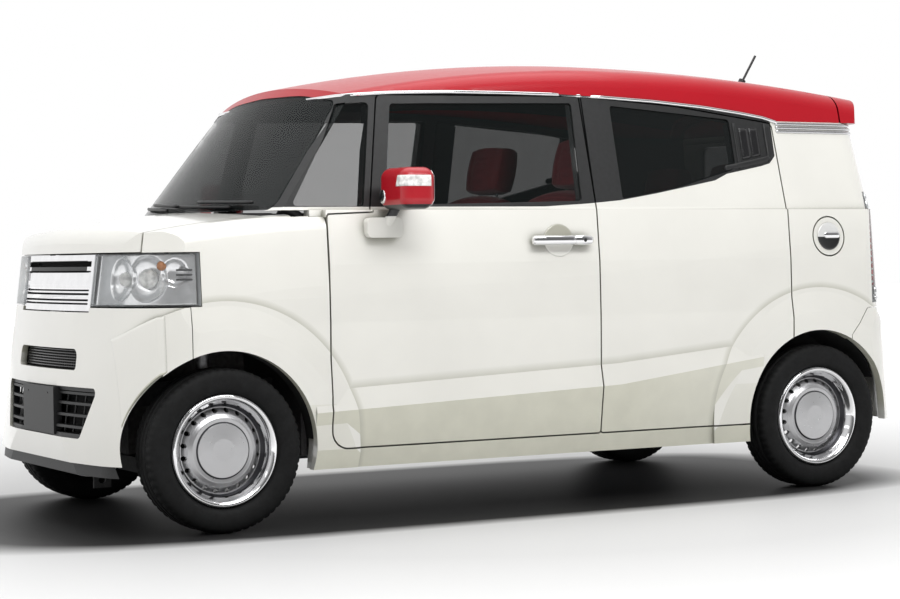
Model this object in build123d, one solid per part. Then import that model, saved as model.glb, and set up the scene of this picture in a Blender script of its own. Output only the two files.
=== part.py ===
from build123d import *
import math
import os

# A small tall-bodied kei car with five doors, in millimetres.
# X points forward, Y to the car's left, Z up. The origin is on the ground at mid length.

# Driving sizes
LENGTH = 3395.0
WIDTH = 1475.0
HEIGHT = 1670.0
WHEELBASE = 2520.0
TRACK = 1305.0
FRONT_AXLE_X = 1283.0
REAR_AXLE_X = FRONT_AXLE_X - WHEELBASE
TYRE_R = 278.5
WHEEL_Y = TRACK / 2
AXLES = ((FRONT_AXLE_X, "front"), (REAR_AXLE_X, "rear"))
SIDES = ((1, "left"), (-1, "right"))

# Fits and gaps
SEAT = 0.3
RUNNING = 0.05
SHUT = 6.0
SEAM = 3.0

# Body walls, as depths below the outer skin
SKIN_T = 24.0
REBATE_T = 30.0
WALL_T = 75.0
PILLAR_T = 52.0
GLASS_OUT = 6.0
GLASS_IN = 11.0
SCREEN_T = 7.0
SCREEN_FLANGE = 18.0
DOOR_LAP = 30.0
BODY_LAP = 20.0
FENDER_T = 20.0
BUMPER_T = 22.0
ROOF_T = 28.0
HOOD_T = 16.0

# Half section of the lower body: height, half width
SIDE_SECTION = ((195, 700), (262, 712), (420, 721), (700, 725), (900, 721), (1090, 704), (1200, 686))
HALF_MAX = 725.0
BELT_Z = 1090.0
# Leaning ends, one row each: x, z, lean in degrees, corner radius, bow radius
FRONT_END = (1697.5, 400.0, 7.2, 250.0, 2600.0)
REAR_END = (-1697.5, 420.0, 4.4, 160.0, 3000.0)
SCREEN_END = (1150.0, 1090.0, 38.7, 60.0, 2470.0)
TAIL_END = (-1645.0, 1090.0, 8.5, 60.0, 3000.0)
SPOILER_END = (-1620.0, 1450.0, 3.0, 110.0, 3000.0)
SPOILER_HALF = 622.0
TAIL_CORNER_R = 120.0
# Cabin section at the roof's peak: side foot and side top as half width, height
CABIN_FOOT = (754.0, 880.0)
CABIN_TOP = (552.0, 1720.0)

# Roof line: peak, and the radius of its arc ahead of and behind the peak
ROOF_PEAK_X = -357.0
ROOF_FRONT_R = 5600.0
ROOF_REAR_R = 9000.0
ROOF_EDGE_R = 90.0
# Lower edge of the roof panel, seen from the side: front, top, rear and the level tail
RAIL_FRONT = (900.0, 1488.0)
RAIL_TOP = (100.0, 1524.0)
RAIL_REAR = (-1119.0, 1437.0)
ROOF_SPLIT_X = -1450.0

# Hood line: front, middle and rear of its arc, its crown and its rolled edges
HOOD_PEAK_X = 800.0
HOOD_PEAK_Z = 1114.0
HOOD_LINE_R = 4100.0
HOOD_CROWN_R = 6000.0
HOOD_EDGE_R = 60.0
HOOD_ROLL_R = 85.0
HOOD_HALF = 612.0
HOOD_FRONT_Z = 952.0
HOOD_REAR_X = 1200.0
HOOD_REAR_R = 1900.0

# Wheel arches
ARCH_R = 338.0
LINER_R = ARCH_R + 3.0
LINER_T = 4.0
FLARE_R = 505.0
FLARE_FLAT_R = 405.0
FLARE_OUT = 12.0
FLARE_FRONT_X = 1500.0

# Crease of the sills and doors: x, lower crease z, upper crease z
LEDGE = ((950, 391, 466), (-300, 440, 519), (-960, 520, 578))
LEDGE_FOOT_Z = 262.0

# Side outlines, corners as x, z, radius
DOOR_BOTTOM = 266.0
FRONT_DOOR = (
    (885, DOOR_BOTTOM, 60), (885, 1072, 8), (705, 1079, 8), (625, 1500, 20),
    (-210, 1512, 8), (-219, BELT_Z, 0), (-219, DOOR_BOTTOM, 8),
)
REAR_DOOR = (
    (-225, DOOR_BOTTOM, 8), (-225, 1511, 8), (-640, 1484, 900), (-1096, 1426, 20),
    (-1105, BELT_Z, 0), (-1105, DOOR_BOTTOM, 0),
)
FRONT_WINDOW = ((645, 1106, 14), (578, 1472, 18), (-176, 1488, 12), (-164, 1122, 12))
REAR_WINDOW = ((-345, 1128, 12), (-345, 1482, 12), (-893, 1440, 16), (-893, 1246, 40), (-600, 1170, 300))
QUARTER_WINDOW = ((1000, 1104, 12), (728, 1102, 12), (660, 1474, 14), (770, 1470, 14))
FRONT_HINGE = (885.0, 737.5)

# Windscreen and tailgate outlines, left half of the front or rear view, corners as y, z, radius
SCREEN = ((612, 1094, 30), (536, 1478, 50), (300, 1512, 900), (0, 1520, 0))
TAILGATE = ((590, 708, 40), (590, 1165, 200), (548, RAIL_REAR[1], 12))
TAILGATE_WINDOW = ((520, 1010, 40), (505, 1180, 200), (462, 1392, 40))
TAILGATE_T = 26.0
TAILGATE_INNER_T = 58.0
SPOILER_T = 34.0

# Front face: lamps, grille and bumper openings
LAMP_REAR_X = 1366.0
LAMP_Z = (769.0, 947.0)
LAMP_INNER_Y = 357.0
LAMP_T = 70.0
GRILLE_HALF = 352.0
GRILLE_Z = (752.0, 946.0)
GRILLE_FRAME = 22.0
GRILLE_BARS = (800.0, 849.0, 898.0)
GRILLE_BAR_H = 14.0
BUMPER_REAR_X = 1405.0
BUMPER_TOP_Z = 764.0
BUMPER_MID_TOP_Z = 748.0
BUMPER_FOOT_Z = 236.0
SLOT = ((300, 549, 14), (300, 622, 30))
INTAKE = ((378, 318, 20), (470, 492, 20))
INTAKE_SLATS = (355.0, 395.0, 435.0, 470.0)
SLAT_H = 9.0
PLATE = (330.0, 165.0, 8.0)
PLATE_Z = 405.0
PLATE_HOLE_SPAN = 210.0
PLATE_HOLE_R = 3.5

# Rear lamps and bumper
TAIL_LAMP_Z = (718.0, 1160.0)
TAIL_LAMP_X = -1520.0
TAIL_LAMP_INNER_Y = 597.0
TAIL_LAMP_T = 60.0
REAR_BUMPER = ((-1399, 100, 0), (-1399, 592, 0), (-1487, 697, 12), (-1900, 697, 0), (-1900, 100, 0))
REAR_BUMPER_FOOT_Z = 250.0

# Fuel lid on the left rear quarter
FUEL_LID = (-1301.0, 983.0, 80.0)
FUEL_LID_T = 10.0
FUEL_POCKET_T = 18.0
LID_STOP = (-45.0, 7.0)

# Floor
FLOOR_Z = (240.0, 265.0)
REAR_FLOOR_Z = (415.0, 440.0)
KICK_X = (-885.0, -860.0)
BULKHEAD_X = (940.0, 960.0)

# Steering: axis points low and high on the left, and the road wheels' lock in degrees
KING_LOW = (FRONT_AXLE_X, 632.0, 170.0)
KING_HIGH = (FRONT_AXLE_X, 505.0, 800.0)
SPINDLE_R = 15.0
KING_PIN_R = 9.0
STRUT_R = 24.0
COLUMN = (470.0, -350.0, 955.0)
COLUMN_TILT = 27.0
RIM_R = 180.0


def outline(corners):
    points = [(u, v) for u, v, _ in corners]
    return make_face(FilletPolyline(*points, radius=[r for _, _, r in corners], close=True))


def mirrored_outline(corners):
    """Closed outline from its left half: the right half is the same corners reversed."""
    left = [c for c in corners if c[0] > 0]
    middle = [c for c in corners if c[0] == 0]
    right = [(-u, v, r) for u, v, r in reversed(left)]
    return outline(left + middle + right)


def along_y(sketch, y_low, y_high):
    """Prism of a side-view sketch between two values of Y."""
    return extrude(Plane.XZ.offset(-y_high) * sketch, y_high - y_low)


def along_x(sketch, x_low, x_high):
    """Prism of a front-view sketch between two values of X."""
    return extrude(Plane.YZ.offset(x_low) * sketch, x_high - x_low)


def block(x_low, x_high, y_low, y_high, z_low, z_high):
    size = Box(x_high - x_low, y_high - y_low, z_high - z_low)
    return Pos((x_low + x_high) / 2, (y_low + y_high) / 2, (z_low + z_high) / 2) * size


def rod(start, end, radius):
    start = Vector(*start)
    run = Vector(*end) - start
    return extrude(Plane(start, z_dir=run) * Circle(radius), run.length)


def disc_y(x, z, radius, y_low, y_high):
    """Cylinder along Y."""
    return rod((x, y_low, z), (x, y_high, z), radius)


def both_sides(left):
    return [left, mirror(left, about=Plane.XZ)]


def bowed_corner(end_x, facing, half, corner_r, bow_r):
    """Where a bowed end, a rounded corner and a straight side meet, on the left."""
    bow_x = end_x - facing * bow_r
    span = bow_r - corner_r
    rise = half - corner_r
    reach = math.sqrt(span ** 2 - rise ** 2)
    centre_x = bow_x + facing * reach
    on_end = (bow_x + facing * bow_r * reach / span, bow_r * rise / span)
    half_turn = (math.pi / 2 + math.atan2(rise, reach)) / 2
    mid = (centre_x + facing * corner_r * math.cos(half_turn), rise + corner_r * math.sin(half_turn))
    return on_end, mid, (centre_x, half)


KEPT = {}


def kept(build):
    """Remember each shape that a function of one inset has made."""
    def recall(inset):
        if (build, inset) not in KEPT:
            KEPT[build, inset] = build(inset)
        return KEPT[build, inset]
    return recall


def leaning_end(row, facing, half, inset):
    """Long prism with a bowed, rounded end that leans: the rest of the car lies behind that end."""
    x, z, lean, corner_r, bow_r = row
    lean = math.radians(lean)
    on_end, mid, on_side = bowed_corner(-inset, 1, half - inset, corner_r - min(inset, 0.9 * corner_r), bow_r)
    back = on_side[0] - 6000
    edges = [
        ThreePointArc((on_end[0], -on_end[1]), (-inset, 0), on_end),
        ThreePointArc(on_end, mid, on_side),
        Polyline(on_side, (back, on_side[1]), (back, -on_side[1]), (on_side[0], -on_side[1])),
        ThreePointArc((on_side[0], -on_side[1]), (mid[0], -mid[1]), (on_end[0], -on_end[1])),
    ]
    up = Vector(-facing * math.sin(lean), 0, math.cos(lean))
    out = Vector(facing * math.cos(lean), 0, math.sin(lean))
    plane = Plane(origin=(x, 0, z), x_dir=out, z_dir=up)
    return extrude(plane * make_face(edges), 2500, both=True)


@kept
def lower(inset):
    """Lower body below its outer skin by an inset, up past the belt and the hood."""
    half = [(w - inset, z) for z, w in SIDE_SECTION]
    points = half + [(-y, z) for y, z in reversed(half)]
    sides = along_x(make_face(Polyline(*points, close=True)), -LENGTH / 2 + inset, LENGTH / 2 - inset)
    return sides & leaning_end(FRONT_END, 1, HALF_MAX, inset) & leaning_end(REAR_END, -1, HALF_MAX, inset)


def swept_section(face):
    """Solid of a cross section carried along the roof's two arcs, ahead of and behind the peak."""
    placed = Plane.YZ.offset(ROOF_PEAK_X) * face
    ahead = revolve(placed, Axis((ROOF_PEAK_X, 0, HEIGHT - ROOF_FRONT_R), (0, 1, 0)), 24)
    behind = revolve(placed, Axis((ROOF_PEAK_X, 0, HEIGHT - ROOF_REAR_R), (0, -1, 0)), 14)
    return ahead + behind


@kept
def cabin(inset):
    """Glasshouse below its outer skin by an inset, from below the belt up past the roof."""
    (foot_y, foot_z), (top_y, top_z) = CABIN_FOOT, CABIN_TOP
    right = [(inset - foot_y, foot_z), (inset - top_y, top_z)]
    section = make_face(Polyline((foot_y - inset, foot_z), (top_y - inset, top_z), *reversed(right), close=True))
    shape = swept_section(section) & leaning_end(SCREEN_END, 1, 900, inset)
    shape = shape & leaning_end(TAIL_END, -1, 900, inset)
    edges = [e for e in shape.edges() if e.center().X < -1450 and abs(e.center().Y) > 520 and e.length > 300]
    return fillet(edges, TAIL_CORNER_R - inset)


@kept
def roof_block(inset):
    """Cabin closed by the crowned roof with its rolled edge, and drawn out behind to the spoiler."""
    (foot_y, foot_z), (top_y, top_z) = CABIN_FOOT, CABIN_TOP
    slope = (foot_y - top_y) / (top_z - foot_z)
    edge_z = HEIGHT - 62 - inset
    edge_y = top_y + slope * (top_z - edge_z) - inset
    low_y = foot_y - inset
    crown = ThreePointArc((edge_y, edge_z), (0, HEIGHT - inset), (-edge_y, edge_z))
    rest = Polyline((-edge_y, edge_z), (-low_y, foot_z), (low_y, foot_z), (edge_y, edge_z))
    section = make_face([crown, rest])
    section = fillet(section.vertices().sort_by(Axis.Y)[-2:], ROOF_EDGE_R - inset)
    shape = swept_section(section) & leaning_end(SCREEN_END, 1, 900, inset)
    return shape & leaning_end(SPOILER_END, -1, SPOILER_HALF, inset)


def front_x(z):
    return FRONT_END[0] - (z - FRONT_END[1]) * math.tan(math.radians(FRONT_END[2]))


@kept
def nose(inset):
    """Lower body ahead of the doors, closed by the crowned hood with rolled edges."""
    side_y = SIDE_SECTION[5][1] - inset
    top = HOOD_PEAK_Z - inset
    edge_z = top - side_y ** 2 / (2 * HOOD_CROWN_R)
    crown = ThreePointArc((side_y, edge_z), (0, top), (-side_y, edge_z))
    rest = Polyline((-side_y, edge_z), (-side_y - 70, 150), (side_y + 70, 150), (side_y, edge_z))
    section = make_face([crown, rest])
    section = fillet(section.vertices().sort_by(Axis.Y)[-2:], HOOD_EDGE_R - inset / 2)
    axis = Axis((HOOD_PEAK_X, 0, HOOD_PEAK_Z - HOOD_LINE_R), (0, 1, 0))
    under_hood = revolve(Plane.YZ.offset(HOOD_PEAK_X) * section, axis, 18)
    return lower(inset) & under_hood & front_roll(inset) & block(FRONT_HINGE[0] + SHUT, 1900, -800, 800, 0, 1300)


def front_roll(inset):
    """Everything behind the front face and below the hood's rolled front edge, bowed in plan."""
    bow_r = FRONT_END[4]
    bow_x = FRONT_END[0] - bow_r
    corners = [
        (front_x(100) - inset + 1, 100, 0), (front_x(1035) - inset + 1, 1035 - inset, HOOD_ROLL_R - inset / 2),
        (1100, 1130 - inset, 0), (bow_x, 1130 - inset, 0), (bow_x, 100, 0),
    ]
    face = Plane.XZ * outline(corners)
    return revolve(face, Axis((bow_x, 0, 0), (0, 0, 1)), 360)


def ledge():
    """Ridge along the sill and the doors that rises toward the rear arch."""
    root = 690
    sections = []
    for x, low, high in LEDGE:
        points = [(x, root, high + 30), (x, 722, high), (x, WIDTH / 2, low), (x, 712, LEDGE_FOOT_Z), (x, root, LEDGE_FOOT_Z)]
        sections.append(make_face(Polyline(*points, close=True)))
    return loft(sections, ruled=True)


def flare(axle_x):
    """Cone round a wheel arch that stands a little proud of the side."""
    profile = [
        (330, 640), (330, WIDTH / 2), (FLARE_FLAT_R, WIDTH / 2), (FLARE_R, 721), (FLARE_R, 640),
    ]
    points = [(axle_x, y, TYRE_R + r) for r, y in profile]
    face = make_face(Polyline(*points, close=True))
    ring = revolve(face, Axis((axle_x, 0, TYRE_R), (0, 1, 0)))
    return ring & lower(-FLARE_OUT) & block(-1900, FLARE_FRONT_X, 0, 900, 0, 900)


def arch_cut(radius, y_low=400, y_high=900):
    """Both wheels' arches on the left, as one tool."""
    return [disc_y(x, TYRE_R, radius, y_low, y_high) for x, _ in AXLES]


ADDED = [ledge(), flare(FRONT_AXLE_X), flare(REAR_AXLE_X)]


def flank_left(depth):
    """Left half of the lower skin down to a depth, with ledge and flares, below the belt."""
    if ("flank", depth) not in KEPT:
        half = lower(0) & block(-1900, 1900, 0, 900, 0, BELT_Z)
        KEPT["flank", depth] = half + ADDED - lower(depth)
    return KEPT["flank", depth]


def layer_left(shape, depth_out, depth_in, z_low, z_high):
    half = shape(depth_out) & block(-1900, 1900, 0, 900, z_low, z_high)
    return half - shape(depth_in)


# Side-view sketches
front_door_face = outline(FRONT_DOOR)
rear_door_face = outline(REAR_DOOR)
rail_face = make_face([
    ThreePointArc(RAIL_FRONT, RAIL_TOP, RAIL_REAR),
    Polyline(RAIL_REAR, (-1900, RAIL_REAR[1]), (-1900, 1900), (RAIL_FRONT[0], 1900), RAIL_FRONT),
])
above_rail = along_y(rail_face, -900, 900)
above_roof_seam = Pos(0, 0, SEAT) * above_rail
screen_face = mirrored_outline(SCREEN)
tailgate_face = mirrored_outline(TAILGATE)
tailgate_window_face = mirrored_outline(TAILGATE_WINDOW)
screen_cut = along_x(offset(screen_face, SEAM), 600, 1300)
screen_seat = (screen_cut - cabin(SCREEN_T + SEAT)) + along_x(offset(screen_face, -SCREEN_FLANGE), 600, 1300)
tailgate_cut = along_x(offset(tailgate_face, SHUT), -1900, -1400)
lamp_box = block(-1900, TAIL_LAMP_X, TAIL_LAMP_INNER_Y, 900, *TAIL_LAMP_Z)
lamp_pocket = block(-1900, TAIL_LAMP_X + SEAT, TAIL_LAMP_INNER_Y - SEAT, 900,
                    TAIL_LAMP_Z[0] - SEAT, TAIL_LAMP_Z[1] + SEAT)
rear_bumper_face = outline(REAR_BUMPER)


def body_side():
    """Left side: sill, pillars, cant rail and rear quarter, rebated for the doors."""
    ahead = block(FRONT_HINGE[0] + SHUT, 1900, 0, 900, 0, BELT_Z)
    skin = flank_left(REBATE_T) - ahead + layer_left(cabin, 0, REBATE_T, BELT_Z, 1600)
    for face in (front_door_face, rear_door_face):
        skin -= along_y(offset(face, SHUT), 0, 900)
    post = block(BULKHEAD_X[0] - SEAT, 1900, 0, 900, 0, BELT_Z)
    inner = layer_left(lower, REBATE_T, WALL_T, 0, BELT_Z) - post
    inner += layer_left(cabin, REBATE_T, PILLAR_T, BELT_Z, 1600)
    for face in (front_door_face, rear_door_face):
        inner -= along_y(offset(face, -BODY_LAP), 0, 900)
    side = skin + inner
    side -= along_y(outline(QUARTER_WINDOW), 0, 900)
    side -= [screen_seat, tailgate_cut, lamp_pocket, above_rail]
    side -= along_y(offset(rear_bumper_face, SEAM), 0, 900)
    side -= arch_cut(LINER_R + LINER_T + SEAT, 0, 690)
    side -= arch_cut(ARCH_R)
    side -= block(-1900, REAR_BUMPER[0][0], 0, 530, 0, 1900)
    side -= block(600, 1300, 0, 575, 1000, 1400)
    lid_x, lid_z, lid_r = FUEL_LID
    side -= disc_y(lid_x, lid_z, lid_r, 0, 900) - lower(FUEL_POCKET_T)
    stop_x, stop_r = LID_STOP
    side += disc_y(lid_x + stop_x, lid_z, stop_r, 0, 900) & (lower(FUEL_LID_T + SEAT) - lower(FUEL_POCKET_T + 2))
    return side


def door(face, window, arch_r=None):
    """Left door: outer skin out to the shut line, a thinner inner frame inside the rebate."""
    skin = flank_left(SKIN_T) + layer_left(cabin, 0, SKIN_T, BELT_Z, 1600)
    skin &= along_y(face, 0, 900)
    frame = layer_left(lower, SKIN_T, WALL_T, 0, BELT_Z)
    frame += layer_left(cabin, SKIN_T, PILLAR_T - 10, BELT_Z, 1600)
    frame &= along_y(offset(face, -DOOR_LAP), 0, 900)
    panel = skin + frame - along_y(window, 0, 900)
    if arch_r:
        panel -= disc_y(REAR_AXLE_X, TYRE_R, arch_r, 0, 690)
        panel -= disc_y(REAR_AXLE_X, TYRE_R, ARCH_R, 0, 900)
    return panel


def pane(window):
    glass = layer_left(cabin, GLASS_OUT, GLASS_IN, BELT_Z, 1600) - screen_cut
    return glass & along_y(offset(window, -SEAT), 0, 900)


nodes = {}

# Doors, glass, mirrors and handles
front_door = door(front_door_face, outline(FRONT_WINDOW))
rear_door = door(rear_door_face, outline(REAR_WINDOW), LINER_R + LINER_T + SHUT)
front_glass = pane(outline(FRONT_WINDOW))
rear_glass = pane(outline(REAR_WINDOW))
MIRROR = (630.0, 815.0, 1160.0)
MIRROR_SIZE = (130.0, 200.0, 145.0)
mirror_head = fillet(Box(*MIRROR_SIZE).edges(), 38)
mirror_head = Pos(*MIRROR) * mirror_head
mirror_foot = block(612, 748, 690, 742, 992, 1062)
mirror_foot = fillet(mirror_foot.edges().filter_by(Axis.Y), 18) - lower(-SEAT)
mirror_stalk = rod((665, 728, 1040), (640, 765, 1110), 17)
door_mirror = mirror_head + mirror_foot + (mirror_stalk - lower(-SEAT) - cabin(-SEAT))
HANDLE = (-48.0, 977.0)
HANDLE_HALF = 118.0
handle_bar = rod((HANDLE[0] - HANDLE_HALF, 738, HANDLE[1]), (HANDLE[0] + HANDLE_HALF, 738, HANDLE[1]), 13)
handle_feet = [disc_y(HANDLE[0] + d, HANDLE[1], 11, 700, 738) for d in (-98, 98)]
door_handle = handle_bar + [foot - lower(-SEAT) for foot in handle_feet]
for sign, side in SIDES:
    for name, shape in (
        ("front_door", front_door), ("front_door_glass", front_glass), ("door_mirror", door_mirror),
        ("door_handle", door_handle), ("rear_door", rear_door), ("rear_door_glass", rear_glass),
    ):
        nodes[name + "_" + side] = shape if sign > 0 else mirror(shape, about=Plane.XZ)

# Body sides, roof, windscreen and quarter glass
nodes["body_sides"] = both_sides(body_side())
roof = (roof_block(0) & above_roof_seam) - roof_block(ROOF_T) - screen_seat
nodes["roof"] = roof - block(-1900, ROOF_SPLIT_X, -900, 900, 0, 1900)
screen = (cabin(0) - cabin(SCREEN_T)) & along_x(screen_face, 600, 1300)
nodes["fixed_glass"] = [screen] + both_sides(pane(outline(QUARTER_WINDOW)))

# Front end
LEFT_HALF = block(-1900, 1900, 0, 900, 0, 1900)
front_skin_left = (nose(0) & LEFT_HALF) + [part & block(890, 1900, 0, 900, 0, 900) for part in ADDED]
hood_rear = Pos(HOOD_REAR_X - HOOD_REAR_R, 0, 1000) * Cylinder(HOOD_REAR_R, 600)
cowl_edge = Pos(HOOD_REAR_X - HOOD_REAR_R, 0, 1000) * Cylinder(HOOD_REAR_R - SHUT, 600)
hood_zone = block(1000, 1900, -HOOD_HALF, HOOD_HALF, HOOD_FRONT_Z, 1300) - hood_rear
nodes["hood"] = (nose(0) - nose(HOOD_T)) & hood_zone
front_skin = front_skin_left - nose(FENDER_T)
fender_zone = block(FRONT_HINGE[0] + SHUT, BUMPER_REAR_X - SEAM, 0, 900, 195, BELT_Z)
fender_zone += block(1300, 1650, HOOD_HALF + SHUT, 900, LAMP_Z[1] + SEAM, BELT_Z)
fender_zone -= block(LAMP_REAR_X - SEAM, 1900, 0, 900, LAMP_Z[0] - SEAM, LAMP_Z[1] + SEAM)
fender_zone -= block(0, 1900, 0, HOOD_HALF + SHUT, 900, 1300)
fender = front_skin & fender_zone
fender -= disc_y(FRONT_AXLE_X, TYRE_R, ARCH_R, 0, 900)
fender -= block(800, 1010, 0, 676, 1000, BELT_Z)
fender -= lower(SKIN_T) & block(800, BULKHEAD_X[0] + SHUT, 0, 900, 0, BELT_Z)
nodes["front_fenders"] = both_sides(fender)
headlamp = (nose(0) - nose(LAMP_T)) & block(LAMP_REAR_X, 1900, LAMP_INNER_Y, 900, *LAMP_Z)
nodes["headlamps"] = both_sides(headlamp)
grille_shell = (nose(5) - nose(38)) & block(1400, 1900, -GRILLE_HALF, GRILLE_HALF, *GRILLE_Z)
grille_hole = block(1400, 1900, GRILLE_FRAME - GRILLE_HALF, GRILLE_HALF - GRILLE_FRAME,
                    GRILLE_Z[0] + GRILLE_FRAME, GRILLE_Z[1] - GRILLE_FRAME)
for z in GRILLE_BARS:
    grille_hole -= block(1400, 1900, -GRILLE_HALF, GRILLE_HALF, z - GRILLE_BAR_H / 2, z + GRILLE_BAR_H / 2)
nodes["grille"] = grille_shell - grille_hole
slot_face = mirrored_outline(SLOT)
intake_face = mirrored_outline(INTAKE)
bumper_half = (front_skin_left - nose(BUMPER_T)) & block(BUMPER_REAR_X, 1900, 0, 900, BUMPER_FOOT_Z, BUMPER_TOP_Z)
bumper_half -= block(1400, 1900, 0, GRILLE_HALF + SEAM, BUMPER_MID_TOP_Z, 900)
bumper_half -= disc_y(FRONT_AXLE_X, TYRE_R, ARCH_R, 0, 900)
bumper = bumper_half + mirror(bumper_half, about=Plane.XZ)
nodes["front_bumper"] = bumper - along_x(slot_face, 1400, 1900) - along_x(intake_face, 1400, 1900)
lower_grille = along_x(offset(intake_face, -SEAT) - offset(intake_face, -14), 1400, 1900)
for z in INTAKE_SLATS:
    lower_grille += block(1400, 1900, -480, 480, z - SLAT_H / 2, z + SLAT_H / 2) & along_x(
        offset(intake_face, -5), 1400, 1900)
lower_grille = lower_grille & (nose(10) - nose(34))
plate_x = LENGTH / 2 - 2
plate = block(plate_x - 30, plate_x, -PLATE[0] / 2, PLATE[0] / 2, PLATE_Z - PLATE[1] / 2, PLATE_Z + PLATE[1] / 2)
lower_grille += plate
for y in (-PLATE_HOLE_SPAN / 2, PLATE_HOLE_SPAN / 2):
    lower_grille -= rod((1500, y, PLATE_Z + 60), (1800, y, PLATE_Z + 60), PLATE_HOLE_R)
lip = (lower(14) - lower(44)) & block(1330, 1900, -700, 700, 196, BUMPER_FOOT_Z - SEAT)
lip -= disc_y(FRONT_AXLE_X, TYRE_R, ARCH_R + 10, -900, 900)
nodes["lower_grille"] = [lower_grille, lip]

# Cowl, bulkhead and front frame
RAIL_Y = (322.0, 390.0)
RAIL_Z = (420.0, 500.0)
COWL_OUT = 8.0
COWL_IN = 18.0
cowl = (nose(COWL_OUT) - nose(COWL_IN)) & cowl_edge & block(1000, 1300, -590, 590, 900, 1200)
cowl -= cabin(-SEAT)
bulkhead = block(*BULKHEAD_X, -625, 625, FLOOR_Z[0], 1060) & lower(WALL_T + SEAT)
shelf = block(BULKHEAD_X[0], 1345, 420, 590, KING_HIGH[2], KING_HIGH[2] + 24)
king = (Vector(*KING_HIGH) - Vector(*KING_LOW)).normalized()


def king_point(along):
    """Point on the left steering axis, measured up from its lower joint."""
    return tuple(Vector(*KING_LOW) + king * along)


king_length = (Vector(*KING_HIGH) - Vector(*KING_LOW)).length
shelf -= rod(king_point(king_length - 40), king_point(king_length + 80), KING_PIN_R + RUNNING)
cowl_seat = block(BULKHEAD_X[0], HOOD_REAR_X - 20, -560, 560, 1030, 1200) & nose(COWL_IN + SEAT)
cowl_seat -= cabin(-SEAT) & block(0, 1300, -900, 900, SCREEN[0][1] - SHUT, 1400)
nodes["bulkhead"] = bulkhead + both_sides(shelf) + cowl_seat
nodes["cowl"] = cowl
frame_node = (nose(BUMPER_T + SEAT) - nose(60)) & block(1400, 1900, -470, 470, 640, 720)
for sign, side in SIDES:
    y_low, y_high = sorted((sign * RAIL_Y[0], sign * RAIL_Y[1]))
    frame_node += block(BULKHEAD_X[1] + SEAT, 1600, y_low, y_high, *RAIL_Z) & nose(40)
    frame_node += block(1540, 1600, y_low, y_high, RAIL_Z[0], 720) & nose(40)
    frame_node += block(1240, 1320, y_low, y_high, 150, RAIL_Z[1])
frame_node += block(1240, 1320, -RAIL_Y[1], RAIL_Y[1], 150, 205)
# Lamp and grille brackets on the cross member: inner y, outer y, top z, depth of the rear face
BRACKETS = ((400.0, 440.0, LAMP_Z[0] - SEAT, 60.0), (160.0, 200.0, GRILLE_Z[0] - SEAT, 38.0))
for y_low, y_high, top, depth in BRACKETS:
    bracket = (nose(BUMPER_T + SEAT) - nose(depth)) & block(1400, 1900, y_low, y_high, 700, top)
    frame_node += both_sides(bracket)
# Radiator support over the cross member, with the two buffers that the shut hood lies on
SUPPORT_X = (1535.0, 1562.0)
SUPPORT_Y = 352.0
SUPPORT_Z = (905.0, 930.0)
HOOD_BUFFER = (1546.0, 250.0, 10.0)
support = block(*SUPPORT_X, RAIL_Y[0], SUPPORT_Y, 700, SUPPORT_Z[1])
buffer_x, buffer_y, buffer_r = HOOD_BUFFER
hood_buffer = rod((buffer_x, buffer_y, SUPPORT_Z[1] - 5), (buffer_x, buffer_y, 1120), buffer_r) & nose(HOOD_T + SEAT)
frame_node += block(*SUPPORT_X, -SUPPORT_Y, SUPPORT_Y, *SUPPORT_Z)
frame_node += both_sides(support) + both_sides(hood_buffer)
TOW_EYE = (1592.0, 172.0)
TOW_EYE_R = 13.0
TOW_PLATE_Y = (350.0, 362.0)
frame_node += block(TOW_EYE[0] - 32, TOW_EYE[0] + 30, *TOW_PLATE_Y, TOW_EYE[1] - 27, RAIL_Z[0] + 20)
nodes["engine"] = block(1040, 1480, -RAIL_Y[0] + SEAT, RAIL_Y[0] - SEAT, 250, 820)

# Front suspension arms and steering knuckles
arm = rod((FRONT_AXLE_X, RAIL_Y[1] - 5, 167), (FRONT_AXLE_X, 618, 167), 15)
arm_eye = rod(king_point(-16), king_point(16), 26)
arm = arm + arm_eye - rod(king_point(-60), king_point(60), KING_PIN_R + RUNNING)
frame_node += both_sides(arm)
nodes["front_frame"] = frame_node - disc_y(*TOW_EYE, TOW_EYE_R, 300, 400)
STRUT_FOOT = (FRONT_AXLE_X, 532.0, 400.0)
knuckle = block(FRONT_AXLE_X - 32, FRONT_AXLE_X + 32, 590, 625, 205, 360)
knuckle += rod(king_point(-16), king_point(50), KING_PIN_R)
knuckle += rod(king_point(21), king_point(45), 22)
knuckle += block(FRONT_AXLE_X - 28, FRONT_AXLE_X + 28, 515, 625, 340, 385)
knuckle += rod((FRONT_AXLE_X, 536, 350), king_point(king_length - 8), STRUT_R)
knuckle += rod(king_point(king_length - 40), king_point(king_length + 20), KING_PIN_R)
knuckle += disc_y(FRONT_AXLE_X, TYRE_R, 34, 600, 640)
SPINDLE_END = 684.0
knuckle += disc_y(FRONT_AXLE_X, TYRE_R, SPINDLE_R, 600, SPINDLE_END)
nodes["knuckle_left"] = knuckle
nodes["knuckle_right"] = mirror(knuckle, about=Plane.XZ)

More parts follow.
